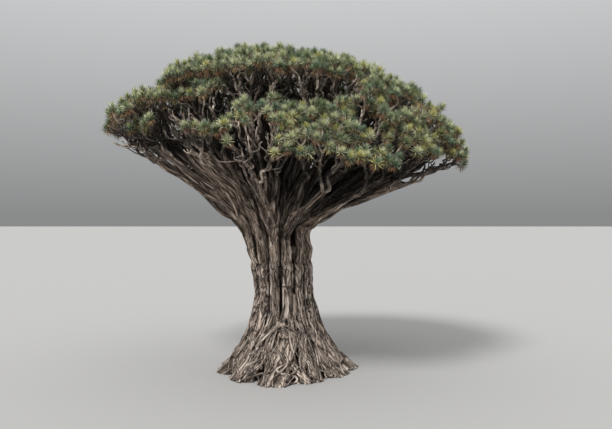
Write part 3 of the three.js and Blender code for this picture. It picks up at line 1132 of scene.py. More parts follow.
@dataclass
class ClingingRoots:
    """Roots that cling to the lower trunk and cross each other on their way down, some in an arch."""

    trunk: Trunk
    count: int = 150
    arches: int = 4
    tops: Pair = (0.9, 4.6)
    girths: Pair = (0.035, 0.085)
    steps: int = 30
    sides: int = 7
    raised: float = 0.25
    drift: float = 0.45
    arch_shares: Pair = (0.72, 1.02)
    arch_jitter: float = 0.05
    arch_turns: Pair = (0.62, 1)
    tones: Pair = (-2.0, 0.5)

    def on_trunk(self, azimuth: Array, height: Array, girth: Array) -> Array:
        """Points on the trunk's bark, evened out over narrow crevices.

        Args:
            azimuth: Azimuths in radians.
            height: Heights.
            girth: The root's radius at each point.

        Returns:
            The points.
        """
        form, grid = self.trunk.form, self.trunk.reach
        rows = np.clip(height / form.fork_height, 0, 1) ** (1 / self.trunk.crowding) * (self.trunk.rows - 1)
        columns = azimuth / FULL_TURN * self.trunk.columns
        beside = [(columns + shift).astype(int) % self.trunk.columns for shift in (-2, 0, 2)]
        reach = smoothed(np.max([grid[rows.astype(int), column] for column in beside], axis=0), 4)
        path = polar(azimuth, reach + girth * self.raised, np.maximum(height, girth))
        path[:, 0] += form.middle(height)[:, 0]
        return path

    def arched(
        self, random: np.random.Generator, number: int, along: Array, bends: Array
    ) -> tuple[Array, Array]:
        """Lays out a root that follows the arch on the front.

        Args:
            random: Draws its place in the arch.
            number: Its number among the arched roots.
            along: Places along it, from 0 to 1.
            bends: How far it bends aside at each place.

        Returns:
            Its azimuths and heights.
        """
        trunk = self.trunk
        low, high = self.arch_shares
        share = low + (high - low) * number / self.arches
        share = share + random.uniform(-self.arch_jitter, self.arch_jitter)
        turn = np.pi * along * random.uniform(*self.arch_turns)
        half = math.radians(trunk.arch_width) * (0.35 + 0.6 * share)
        side = 1 if (number + self.count) % 2 else -1
        azimuth = math.radians(trunk.form.mound.azimuth) + side * half * np.cos(turn) + bends
        return azimuth, trunk.arch_height * (0.45 + 0.55 * share) * np.sin(turn) ** 0.75

    def finished(self, finish: "BarkFinish") -> bpy.types.Object:
        """Builds the roots, which lie on the trunk's solid."""
        random = np.random.default_rng(91)
        skin = Skin("root_bark")
        along = np.linspace(0, 1, self.steps)
        for i in range(self.count + self.arches):
            girth = random.uniform(*self.girths)
            taper = girth * (0.35 + 0.65 * np.sin(np.pi * np.clip(along * 0.75 + 0.08, 0, 1)))
            top = random.uniform(*self.tops) * random.uniform(0.55, 1)
            height = top * (1 - along**1.15)
            bends = random.uniform(0.04, 0.12) * np.sin(random.uniform(3, 9) * along + random.uniform(0, 6))
            azimuth = i * GOLDEN_ANGLE + random.uniform(-self.drift, self.drift) * along + bends
            if i >= self.count:
                azimuth, height = self.arched(random, i - self.count, along, bends)
            path = self.on_trunk(azimuth % FULL_TURN, height, taper)
            tone, offset = random.uniform(*self.tones), random.uniform(0, 30)
            skin.add_tube(path, taper, self.sides, None, tone, offset)
        return dress(skin.finished(finish.material), "bark", "trunk")


def dress(piece: bpy.types.Object, slot: str, *nodes: str) -> bpy.types.Object:
    """Lets a finished piece ride on the tree.

    Args:
        piece: The piece.
        slot: Not used.
        nodes: The solids that it stands for.

    Returns:
        The piece.
    """
    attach(piece, BODY)
    if nodes:
        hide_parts(*nodes)
    return piece


@dataclass
class Boughs:
    """The main boughs: bundles of fused stems that grow out of the trunk's strands."""

    form: TrunkForm
    masses: list[Mass]
    strands: list[Strand]
    shade: Shade
    sides: int = 34
    step: float = 0.11
    sunk: float = 1.3
    foot_steps: int = 8
    foot_sink: float = 0.3
    end_taper: float = 0.4
    end_reach: Pair = (0.8, 1.4)
    end_girths: Pair = (0.7, 0.25)
    swell: float = 1.06
    grain_step: float = 0.37
    lobe_counts: tuple[int, int] = (4, 7)
    lobe_girths: Pair = (0.36, 0.56)
    lobe_out: float = 1.02
    lobe_twist: float = 0.5
    lobe_bend: float = 0.35
    core: float = 0.55
    cut_depth: float = 0.13
    lump_height: float = 0.04
    burl_mass: str = "outer_10"
    burl_share: float = 0.4
    burl_size: float = 0.42
    burl_girth: float = 0.62
    burl_knobs: float = 0.16
    burl_out: float = 1.5
    burl_tone: float = 1.6

    def path(self, mass: Mass) -> tuple[Array, Array]:
        """The bough's path and radii, from inside the trunk to the mass's own stem.

        Args:
            mass: The mass that the bough carries.

        Returns:
            The points and the radius at each.
        """
        top = self.form.fork_height
        steps = max(10, int(np.linalg.norm(mass.limb(mass.form.stem_share)[0] - mass.seat) / self.step))
        shares = np.linspace(0, mass.form.stem_share, steps)
        limb = mass.limb(shares)
        below = np.linspace(top - self.sunk, top, self.foot_steps + 1)[:-1]
        if mass.outer:
            strand = next(s for s in self.strands if s.azimuth == mass.azimuth)
            azimuth = strand.azimuth_at(below, top) - strand.azimuth_at(np.array(top), top)
            azimuth = azimuth + mass.azimuth
            sink = self.foot_sink * np.linspace(1, 0, self.foot_steps) ** 2
            reach = self.form.radius(azimuth, below) - mass.ring.root - sink
        else:
            azimuth, reach = mass.azimuth, mass.ring.seat
        foot = polar(azimuth, reach, 0 * below) + self.form.middle(below)
        radii = mass.radius(shares) * (1 - self.end_taper * smoothstep(0.3, mass.form.stem_share, shares))
        ahead = unit(limb[-1] - limb[-2]) * radii[-1]
        end = limb[-1] + np.array(self.end_reach)[:, None] * ahead
        foot_girths = np.full(self.foot_steps, radii[0])
        girths = np.concatenate([foot_girths, radii, radii[-1] * np.array(self.end_girths)])
        return np.concatenate([foot, limb, end]), girths

    def lobes(self, seed: int) -> Callable[[Array, Array], Array]:
        """The cross-section of a bundle of stems that turn about each other.

        Args:
            seed: Seeds the bundle.

        Returns:
            A function from places along and angles round to shares of the radius.
        """
        random = np.random.default_rng(seed)
        count = int(random.integers(*self.lobe_counts))
        phases = (np.arange(count) + random.uniform(-0.25, 0.25, count)) * FULL_TURN / count
        twist = random.uniform(-self.lobe_twist, self.lobe_twist)
        girths = random.uniform(*self.lobe_girths, count)

        def shape(along: Array, angle: Array) -> Array:
            """Returns shares of the radius, at places along and angles round."""
            shares = np.full(np.broadcast_shapes(along.shape, angle.shape), self.core)
            for phase, girth in zip(phases, girths):
                offset = self.lobe_out - girth
                bend = self.lobe_bend * np.sin(along * 0.9 + phase * 3)
                turn = angle - phase - twist * along - bend
                side = offset * np.sin(turn)
                inside = np.clip(girth**2 - side**2, 0, None)
                edge = np.where(inside > 0, offset * np.cos(turn) + np.sqrt(inside), 0)
                shares = np.maximum(shares, edge)
            turned = angle - twist * along
            places = np.stack(np.broadcast_arrays(np.cos(turned), np.sin(turned), along * 0.7), axis=-1)
            cuts = self.cut_depth * grooves(places, 0.55, 0.3, seed + 500)
            return shares * (1 - cuts + self.lump_height * ripples(places, 0.9, 8, seed + 700))

        return shape

    def burl(self, skin: Skin) -> None:
        """Adds the knobbly burl on a limb in front."""
        mass = next(mass for mass in self.masses if mass.name == self.burl_mass)
        share = np.array([self.burl_share - 0.01, self.burl_share, self.burl_share + 0.01])
        out = mass.radius(share) * self.burl_out
        low, place, high = mass.beside(share, np.full(3, math.pi / 2), out)
        along = np.linspace(-1, 1, 13)[:, None]
        path = place + along * self.burl_size * unit(high - low)
        radii = self.burl_size * self.burl_girth * np.sqrt(np.clip(1 - along[:, 0] ** 2, 0.02, 1))

        def knobs(length: Array, angle: Array) -> Array:
            """Returns shares of the radius, uneven with knobs."""
            places = np.stack(np.broadcast_arrays(np.cos(angle), np.sin(angle), length * 5), axis=-1)
            return 1 + self.burl_knobs * ripples(places, 1.1, 10, 77)

        skin.add_tube(path, radii, 16, knobs, self.burl_tone, 5.0)

    def finished(self, finish: "BarkFinish") -> bpy.types.Object:
        """Builds all boughs with their bark, and lets them stand for the boughs' solids."""
        skin = Skin("bough_bark")
        self.burl(skin)
        random = np.random.default_rng(31)
        for mass in self.masses:
            path, radii = self.path(mass)
            tone, offset = random.uniform(-1, 1), mass.seed * self.grain_step
            shape = self.lobes(mass.seed)
            skin.add_tube(path, radii * self.swell, self.sides, shape, tone, offset, self.shade.at)
        piece = skin.finished(finish.material)
        return dress(piece, "bark", *(f"bough_{mass.name}" for mass in self.masses))


@dataclass(frozen=True)
class Tip:
    """The end of a twig, which carries a rosette."""

    place: Array
    axis: Array
    mass: Mass


@dataclass
class Twigs:
    """The stems beside one limb and the twigs that fork from them, up to the tips under the mass's patch."""

    mass: Mass
    masses: list[Mass]
    form: TrunkForm
    crown: CrownForm
    shade: Shade
    room: float = 0.205
    samples: int = 900
    rounds: int = 10
    fewest: int = 4
    depths: Pair = (-0.16, 0.3)
    scatter: float = 0.05
    cleared_drop: Pair = (0.35, 0.6)
    below_drop: Pair = (0.9, 1.1)
    bare_scatter: float = 0.16
    least_group: int = 3
    full_tips: int = 40
    fork_at: float = 0.45
    fork_scatter: float = 0.07
    fork_rise: float = 0.5
    heading_scatter: float = 0.12
    axis_lean: float = 0.5
    axis_scatter: float = 0.2
    tip_radius: float = 0.04
    stem_radii: Pair = (0.1, 0.17)
    stem_taper: float = 0.8
    stem_steps: int = 27
    stem_sides: int = 8
    stem_end_jitter: float = 0.06
    stem_reach: Pair = (0.4, 0.55)
    stem_drop: float = 0.15
    stem_tones: Pair = (-2.0, 1.0)
    stem_buried: float = 0.5
    stem_proud: float = 0.35
    stem_apart: float = 0.7
    below_turns: Pair = (0.22, 0.78)
    winding: float = 1.5
    loose: Pair = (-0.1, 0.25)
    loose_behind: Pair = (0.0, 0.4)
    leave_from: Pair = (0.15, 0.45)
    leave_to: float = 1.25
    emerging: Pair = (0.12, 0.6)
    foot_steps: int = 9
    foot_depths: Pair = (0.8, 2.6)
    inner_foot: float = 0.7
    foot_turn: float = 0.1
    foot_sink: float = 0.35
    own_groups: int = 2
    below_share: float = 0.62
    cleared_share: float = 0.7
    below_every: int = 2
    lowest_bare: float = 9.9
    lowest_behind: float = 10.7
    least_rise: float = 0.15
    slender: int = 7
    shortest: float = 1e-3
    long: float = 0.9
    flat_leave: Triple = (1.6, 1.6, 0.6)
    leave_share: float = 0.25
    sways: Pair = (0.06, 0.2)
    thinner: float = 0.86
    bare_thin: float = 0.5
    thick_tone: float = -1.1
    behind: float = 0.0
    rim_share: float = 0.15
    # Where slender twigs are made paler, and how much: painted light.
    painted_light_heights: Pair = (9.5, 12.2)
    painted_light_azimuths: Pair = (-142.0, -56.0)
    painted_light_tone: float = 1.4
    painted_light_most: float = 1.9
    bare_most: float = 1.2
    # Upright twigs in the band get a paler tone and less painted shade: painted light.
    pale_tone: float = 1.4
    band_light_spread: float = 0.5
    band_shade_share: float = 0.3
    upright: float = 0.6
    band: Opening = Opening(-84, 44, (2.6, 8.0), (12.4, 14.9), 0.6)
    wander: float = 0.12
    wander_pitch: float = 1.7
    kinks: float = 0.1
    kink_pitch: float = 0.75
    spread: float = 1.2

    @property
    def width(self) -> float:
        """Returns how far the mass's patch reaches from its middle."""
        return self.mass.ring.width * (1 if self.mass.outer else self.spread)

    def patch(self) -> Array:
        """Returns points of the patch of crown that lie nearer to this mass than to any other."""
        mass = self.mass
        count = np.arange(self.samples)
        share = (count + 0.5) / self.samples
        out = self.width * np.sqrt(share)
        turn = count * GOLDEN_ANGLE
        points = (
            mass.centre
            + mass.downhill * (out * np.cos(turn))[:, None]
            + mass.sideways * (out * np.sin(turn))[:, None]
            - mass.facing * (mass.ring.sag * share)[:, None]
        )
        if not mass.outer:
            lift = mass.centre[2] - self.crown.height(*mass.centre[:2])
            points[:, 2] = self.crown.height(points[:, 0], points[:, 1]) + lift
        own = np.linalg.norm(points - mass.centre, axis=1)
        for other in self.masses:
            if other is not mass:
                keep = np.linalg.norm(points - other.centre, axis=1) > own
                points, own = points[keep], own[keep]
        return points

    def tips(self) -> tuple[Array, Array]:
        """Shares the patch evenly among the tips.

        Returns:
            The tips that carry rosettes, and those of the bare twigs below them and in the openings.
        """
        points = self.patch()
        area = math.pi * self.width**2 * len(points) / self.samples
        count = max(self.fewest, round(area / self.room))
        random = np.random.default_rng(self.mass.seed)
        tips = points[((np.arange(count) + 0.5) * len(points) / count).astype(int)]
        for _ in range(self.rounds):
            nearest = np.linalg.norm(points[:, None] - tips[None], axis=2).argmin(axis=1)
            tips = np.array([
                points[nearest == i].mean(axis=0) if (nearest == i).any() else tips[i] for i in range(count)
            ])
        depth = random.uniform(*self.depths, count)
        tips = tips - self.mass.facing * depth[:, None] + random.normal(0, self.scatter, tips.shape)
        luck = random.uniform(0, 1, count)
        kept = np.ones(count, dtype=bool)
        for opening in self.crown.openings:
            kept &= ~(opening.holds(tips) & (luck < opening.share))
        own = [spray for spray in self.crown.sprays if spray.mass == self.mass.name]
        sprays = [spray.places() for spray in own if not spray.bare]
        bare_sprays = [spray.places() for spray in own if spray.bare]
        cleared = tips[~kept][: int((~kept).sum() * self.cleared_share)]
        below = tips[:: self.below_every]
        if self.mass.centre[1] > self.behind:
            out = (below - self.mass.centre) @ self.mass.downhill
            below = below[out < self.rim_share * self.width]
        bare = np.concatenate([cleared, below])
        drops = [self.cleared_drop] * len(cleared) + [self.below_drop] * len(below)
        least, more = np.array(drops).reshape(-1, 2).T
        sunk = least + random.uniform(0, 1, len(bare)) * more
        bare = bare - (self.mass.facing + UP) / 2 * sunk[:, None]
        bare = bare + random.normal(0, self.bare_scatter, bare.shape)
        in_front = self.mass.centre[1] < self.behind
        bare = bare[bare[:, 2] > (self.lowest_bare if in_front else self.lowest_behind)]
        return np.concatenate([tips[kept], *sprays]), np.concatenate([bare, *bare_sprays])

    def halves(self, group: Array) -> tuple[Array, Array]:
        """Splits a group of tips' numbers in two, round the two that lie furthest apart."""
        tips = self.points[group]
        apart = np.linalg.norm(tips[:, None] - tips[None], axis=2)
        first, second = np.unravel_index(apart.argmax(), apart.shape)
        near = apart[first] <= apart[second]
        return group[near], group[~near]

    def grow(self, stems: Skin, twigs: Skin) -> list[Tip]:
        """Grows the mass's stems and twigs.

        Args:
            stems: The bark that the stems are added to.
            twigs: The bark that the twigs are added to.

        Returns:
            The tips that carry rosettes.
        """
        mass = self.mass
        self.random = np.random.default_rng(mass.seed + 900)
        self.skin = twigs
        self.found: list[Tip] = []
        leafy, bare = self.tips()
        self.points = np.concatenate([leafy, bare])
        self.leafy = len(leafy)
        groups = [np.arange(len(self.points))]
        while len(groups) < mass.ring.stems and max(map(len, groups)) > self.least_group:
            groups.sort(key=len)
            groups.extend(self.halves(groups.pop()))
        self.power = math.log(mass.ring.tip / self.tip_radius) / math.log(self.full_tips)
        before, end = mass.limb([mass.form.stem_share - 0.03, mass.form.stem_share])
        heading = unit(end - before)
        groups.sort(key=lambda group: float(np.linalg.norm(self.points[group].mean(axis=0) - end)))
        for rank, group in enumerate(groups):
            if rank < self.own_groups:
                self.branch(end, heading, group)
            else:
                self.branch(*self.stem(stems, group), group)
        return self.found

    def stem(self, stems: Skin, group: Array) -> tuple[Array, Array]:
        """Adds a stem that climbs from the trunk along the limb and leaves it for a group of tips.

        Args:
            stems: The bark that it is added to.
            group: The tips' numbers.

        Returns:
            The stem's end and the direction that it ends in.
        """
        mass, random = self.mass, self.random
        jitter = self.stem_end_jitter
        end_share = mass.form.bough_share + random.uniform(-jitter, jitter)
        along = np.linspace(0, 1, self.stem_steps)
        girth = random.uniform(*self.stem_radii)
        radii = girth + (self.girth(len(group)) - girth) * along**self.stem_taper
        below = random.uniform(0, 1) < self.below_share
        start_turn = random.uniform(*self.below_turns) * math.pi * (1 if below else -1)
        loose = random.uniform(*self.loose)
        if mass.centre[1] > self.behind:
            start_turn = random.uniform(0, 2) * math.pi
            loose = random.uniform(*self.loose_behind)
        turn = start_turn + random.uniform(-self.winding, self.winding) * along
        proud = smoothstep(*self.emerging, along)
        away = mass.radius(along * end_share) * (self.stem_buried + self.stem_proud * proud)
        away = away + (radii * self.stem_apart + loose) * proud
        path = mass.beside(along * end_share, turn, away)
        middle = self.points[group].mean(axis=0)
        target = path[-1] + (middle - path[-1]) * random.uniform(*self.stem_reach)
        target = target - mass.facing * self.stem_drop
        leave = random.uniform(*self.leave_from)
        bend = smoothstep(leave, self.leave_to, along)[:, None]
        path = path + (target - path[-1]) * bend / smoothstep(leave, self.leave_to, 1.0)
        path = path + self.wandering(path, along)
        foot = self.foot(path[0])
        whole = smoothed(np.concatenate([foot, path]), 3)
        stems.add_tube(
            whole,
            np.concatenate([np.full(len(foot), radii[0]), radii]),
            self.stem_sides,
            None,
            random.uniform(*self.stem_tones),
            random.uniform(0, 60),
            self.depth,
        )
        return whole[-1], unit(whole[-1] - whole[-3])

    def foot(self, top: Array) -> Array:
        """The stem's foot, which runs down the trunk and sinks into it.

        Args:
            top: The stem's place at the height of the fork.

        Returns:
            The foot's points, from the lowest up.
        """
        outer = self.mass.outer
        reach = np.linalg.norm((top - self.form.middle(top[2]))[:2])
        deep = self.random.uniform(*self.foot_depths) if outer else self.inner_foot
        height = np.linspace(top[2] - deep, top[2], self.foot_steps + 1)[:-1]
        low = np.clip(height, 0, self.form.fork_height)
        share = np.linspace(1, 0, self.foot_steps)
        azimuth = math.atan2(*(top - self.form.middle(top[2]))[1::-1]) + self.form.twist(low)
        azimuth = azimuth + self.random.uniform(-self.foot_turn, self.foot_turn) * share
        edge = self.form.radius(azimuth, low)
        depth = edge[-1] - reach if outer else 0.0
        across = edge - depth - self.foot_sink * share**3 if outer else reach + 0 * share
        foot = polar(azimuth, across, 0 * low) + self.form.middle(low)
        foot[:, 2] = height
        return foot

    def wandering(self, path: Array, along: Array) -> Array:
        """Returns bends for a path, long ones along the limb and short ones past it."""
        shift = self.random.uniform(0, 30)
        places = [path + shift + 9 * i for i in range(3)]
        bends = [ripples(place, self.wander_pitch, 6, i) for i, place in enumerate(places)]
        kinks = [ripples(place, self.kink_pitch, 6, i + 3) for i, place in enumerate(places)]
        bends, kinks = np.stack(bends, axis=-1), np.stack(kinks, axis=-1)
        late = 0.35 + 0.65 * smoothstep(0.3, 0.7, along)[:, None]
        return bends * self.wander * np.sin(np.pi * along)[:, None] + kinks * self.kinks * late

    def depth(self, points: Array) -> Array:
        """Returns how deep in the painted shade points of this mass lie."""
        drop = float(self.crown.height(*self.mass.centre[:2]) - self.mass.centre[2])
        return self.shade.at(points, drop)

    def slight_depth(self, points: Array) -> Array:
        """Returns a slight painted shade, for twigs that are painted light as if they caught light from
        above.
        """
        return self.band_shade_share * self.depth(points)

    def girth(self, tips: int) -> float:
        """Returns the radius of a twig that carries this many tips."""
        return self.tip_radius * tips**self.power

    def branch(self, start: Array, heading: Array, group: Array) -> None:
        """Grows a twig to a fork, and on to the tips.

        Args:
            start: Where the twig starts, inside what carries it.
            heading: The direction of what carries it.
            group: The numbers of the tips that it has to reach.
        """
        mass = self.mass
        if len(group) == 1:
            end = self.points[group[0]]
            leafy = group[0] < self.leafy
            if not leafy:
                end = end + UP * max(0.0, start[2] + self.least_rise - end[2])
            axis = mass.facing + UP + self.axis_lean * unit(end - start)
            axis = unit(axis + self.random.normal(0, self.axis_scatter, 3))
            self.segment(start, end, heading, axis, 1 if leafy else 0)
            if leafy:
                self.found.append(Tip(end, axis, mass))
            return
        middle = self.points[group].mean(axis=0)
        fork = start + (middle - start) * self.fork_at
        reach = float(np.linalg.norm(fork - start))
        fork = fork + self.random.normal(0, self.fork_scatter, 3) * reach
        arrive = unit(fork - start) + self.fork_rise * UP
        arrive = unit(arrive + self.random.normal(0, self.heading_scatter, 3))
        self.segment(start, fork, heading, arrive, len(group))
        for half in self.halves(group):
            self.branch(fork, arrive, half)

    def segment(self, start: Array, end: Array, leave: Array, arrive: Array, tips: int) -> None:
        """Adds one bent stretch of twig.

        Args:
            start: Its first point.
            end: Its last point.
            leave: The direction that it leaves in.
            arrive: The direction that it arrives in.
            tips: How many tips it carries, or 0 for a bare end.
        """
        reach = float(np.linalg.norm(end - start))
        if reach < self.shortest:
            return
        outward = unit(end - start) * (np.array(self.flat_leave) if tips < self.slender else 1.0)
        outward = unit(outward + self.leave_share * leave)
        steps = 6 if reach < self.long else 9
        s = np.linspace(0, 1, steps)[:, None]
        path = (
            start * (2 * s**3 - 3 * s**2 + 1)
            + outward * reach * (s**3 - 2 * s**2 + s)
            + end * (3 * s**2 - 2 * s**3)
            + arrive * reach * (s**3 - s**2)
        )
        side = unit(np.cross(end - start, self.random.normal(size=3)))
        sway = self.random.uniform(*self.sways) * np.sin(np.pi * s * self.random.choice([1, 2, 3]))
        path = path + side * reach * sway
        girth = self.girth(max(tips, 1))
        thin = girth * (self.thinner if tips > 1 else 1.0 if tips else self.bare_thin)
        tone, shade = self.tone(end, tips), self.depth
        upright = tips > 1 and abs(end[2] - start[2]) > self.upright * reach
        # Upright twigs in the band are painted light: a paler tone and only slight painted shade.
        if upright and self.band.holds(end[None])[0] and self.random.uniform(0, 1) < self.band.share:
            tone, shade = self.pale_tone + self.band_light_spread * tone, self.slight_depth
        radii = np.linspace(girth, thin, steps)
        sides = 5 if not tips else 6 if girth < 0.1 else 8
        self.skin.add_tube(path, radii, sides, None, tone, self.random.uniform(0, 40), shade)

    def tone(self, end: Array, tips: int) -> float:
        """Draws a twig's tone: darker if it is thick, and paler where the sun reaches slender ones, as
        painted light.

        Args:
            end: Its last point.
            tips: How many tips it carries, or 0 for a bare end.

        Returns:
            The tone.
        """
        slender = tips < self.slender
        tone = self.random.uniform(-1, 1) + (0 if slender else self.thick_tone)
        low, high = self.painted_light_heights
        left, right = self.painted_light_azimuths
        azimuth = math.degrees(math.atan2(end[1], end[0]))
        # Slender twigs under the front of the crown are made paler: painted light.
        if slender and left < azimuth < right and low < end[2] < high:
            tone = min(tone + self.painted_light_tone, self.painted_light_most if tips else self.bare_most)
        return tone


@dataclass(frozen=True)
class Layer:
    """One layer of a rosette: how many leaves it has, how they stand and how long they are."""

    name: str
    leaves: int
    angles: Pair
    lengths: Pair
    droops: Pair
    seats: Pair
    width: float = 0.042
    widest: float = 0.36
    fold: float = 0.45

    def tuft(self, seed: int) -> bpy.types.Object:
        """Makes one tuft of this layer, to be set on the twigs' tips.

        Args:
            seed: Seeds the leaves.

        Returns:
            The tuft, unlinked from the scene.
        """
        random = np.random.default_rng(seed)
        points: list[Array] = []
        faces: list[Array] = []
        for i in range(self.leaves):
            share = (i + random.uniform(0.1, 0.9)) / self.leaves
            angle = math.radians(self.angles[0] + (self.angles[1] - self.angles[0]) * share)
            azimuth = i * GOLDEN_ANGLE + random.uniform(-0.3, 0.3)
            faces.append(LEAF_FACES + LEAF_POINTS * i)
            points.append(self.leaf(random, angle, azimuth, 1 - share))
        mesh = bpy.data.meshes.new(f"tuft_{self.name}_{seed}")
        mesh.from_pydata(np.concatenate(points).tolist(), [], np.concatenate(faces).tolist())
        return bpy.data.objects.new(mesh.name, mesh)

    def leaf(self, random: np.random.Generator, angle: float, azimuth: float, share: float) -> Array:
        """One sword-shaped leaf, folded along its middle and bent down.

        Args:
            random: Draws its sizes.
            angle: How far it leans from the rosette's axis, in radians.
            azimuth: Which way it leans.
            share: Its place between the lowest seat and the highest.

        Returns:
            Its points: its foot, three across its widest place, and its tip.
        """
        length = random.uniform(*self.lengths)
        droop = math.radians(random.uniform(*self.droops))
        half = self.width / 2 * random.uniform(0.8, 1.15)
        seat = self.seats[0] + (self.seats[1] - self.seats[0]) * share
        side = np.array([-math.sin(azimuth), math.cos(azimuth), 0.0])
        side = unit(side + random.normal(0, 0.25, 3))
        foot = polar(azimuth, 0.02, seat)
        ahead = polar(azimuth, math.sin(angle), math.cos(angle))
        bent = polar(azimuth, math.sin(angle + droop), math.cos(angle + droop))
        widest = foot + ahead * length * self.widest
        fold = unit(np.cross(ahead, side)) * half * self.fold
        tip = widest + bent * length * (1 - self.widest)
        return np.stack([foot, widest - side * half, widest + fold, widest + side * half, tip])


def feed(tree: bpy.types.NodeTree, node: bpy.types.Node, values: Inputs) -> None:
    """Sets a node's inputs.

    Args:
        tree: The tree that the node is in.
        node: The node.
        values: For each input, by name or number, another node's output or a fixed value.
    """
    for key, value in values.items():
        if isinstance(value, bpy.types.NodeSocket):
            tree.links.new(value, node.inputs[key])
        else:
            node.inputs[key].default_value = value


def add_node(
    tree: bpy.types.NodeTree, kind: str, values: Inputs | None = None, **options: Any
) -> bpy.types.Node:
    """Adds a node to a tree.

    Args:
        tree: The tree.
        kind: The node's kind.
        values: What goes into its inputs.
        options: Its own settings.

    Returns:
        The node.
    """
    node = tree.nodes.new(kind)
    for key, option in options.items():
        setattr(node, key, option)
    feed(tree, node, values or {})
    return node


def mapped(
    tree: bpy.types.NodeTree, value: bpy.types.NodeSocket, source: Pair, target: Pair = (0.0, 1.0)
) -> bpy.types.NodeSocket:
    """Returns a value in a node tree, mapped from one range to another."""
    ends = zip(("From Min", "From Max", "To Min", "To Max"), (*source, *target))
    return add_node(tree, "ShaderNodeMapRange", {"Value": value, **dict(ends)}).outputs["Result"]


LEAF_POINTS = 5
LEAF_FACES = np.array([[0, 2, 1], [0, 3, 2], [1, 2, 4], [2, 3, 4]])

LAYERS = (
    Layer("young", leaves=24, angles=(3, 46), lengths=(0.32, 0.43), droops=(0, 5),
          seats=(0.02, 0.08), width=0.044),
    Layer("grown", leaves=28, angles=(36, 92), lengths=(0.36, 0.48), droops=(4, 14),
          seats=(-0.05, 0.04)),
    Layer("shaded", leaves=28, angles=(46, 100), lengths=(0.3, 0.4), droops=(5, 16),
          seats=(-0.08, 0.0)),
    Layer("old", leaves=22, angles=(92, 134), lengths=(0.28, 0.39), droops=(10, 24),
          seats=(-0.15, -0.06)),
)


@dataclass(frozen=True)
class LeafFinish:
    """The finish of one tone of leaves."""

    name: str
    colour: Triple
    shade: float = 0.12
    roughness: float = 0.42
    specular: float = 0.3
    mottle: float = 1.3

    def build(self) -> bpy.types.Material:
        """Makes the material."""
        material = bpy.data.materials.new(f"leaf_{self.name}")
        material.use_nodes = True
        tree = material.node_tree
        place = add_node(tree, "ShaderNodeTexCoord").outputs["Object"]
        mottle = {"Vector": place, "Scale": self.mottle, "Detail": 2.0}
        noise = add_node(tree, "ShaderNodeTexNoise", mottle)
        dark = (*(c * (1 - self.shade) for c in self.colour), 1)
        light = (*(min(1, c * (1 + self.shade)) for c in self.colour), 1)
        shades = {"A": dark, "B": light, "Factor": noise.outputs["Fac"]}
        mix = add_node(tree, "ShaderNodeMix", shades, data_type="RGBA")
        skin = {
            "Base Color": mix.outputs["Result"],
            "Roughness": self.roughness,
            "Specular IOR Level": self.specular,
        }
        feed(tree, tree.nodes["Principled BSDF"], skin)
        return material


class Tone(Enum):
    """The tones of leaves, which are dealt out by rosette."""

    # Near-black leaves for the shaded layer and sunk rosettes: painted shade.
    DEEP = LeafFinish("deep_green", (0.027, 0.035, 0.014))
    GLAUCOUS = LeafFinish("glaucous_green", (0.2, 0.24, 0.125))
    BLUISH = LeafFinish("bluish_green", (0.19, 0.255, 0.165))
    PALE = LeafFinish("pale_green", (0.51, 0.53, 0.32))
    FRESH = LeafFinish("fresh_green", (0.45, 0.435, 0.17))
    OLIVE = LeafFinish("olive", (0.19, 0.15, 0.065))
    STRAW = LeafFinish("straw", (0.38, 0.255, 0.125), roughness=0.7)
    RUST = LeafFinish("rust", (0.235, 0.125, 0.06), roughness=0.7)


@dataclass(frozen=True)
class Greens:
    """How one layer's leaves share the green tones: what is left over is glaucous."""

    fresh: float
    fresh_in_sun: float
    pale: float
    bluish: float

    def pick(self, random: np.random.Generator, sun: float) -> Tone:
        """Draws a tone, at a place that gets this share of the low sun."""
        fresh = self.fresh + self.fresh_in_sun * sun
        return random.choice(
            [Tone.FRESH, Tone.PALE, Tone.BLUISH, Tone.GLAUCOUS],
            p=[fresh, self.pale, self.bluish, 1 - fresh - self.pale - self.bluish],
        )


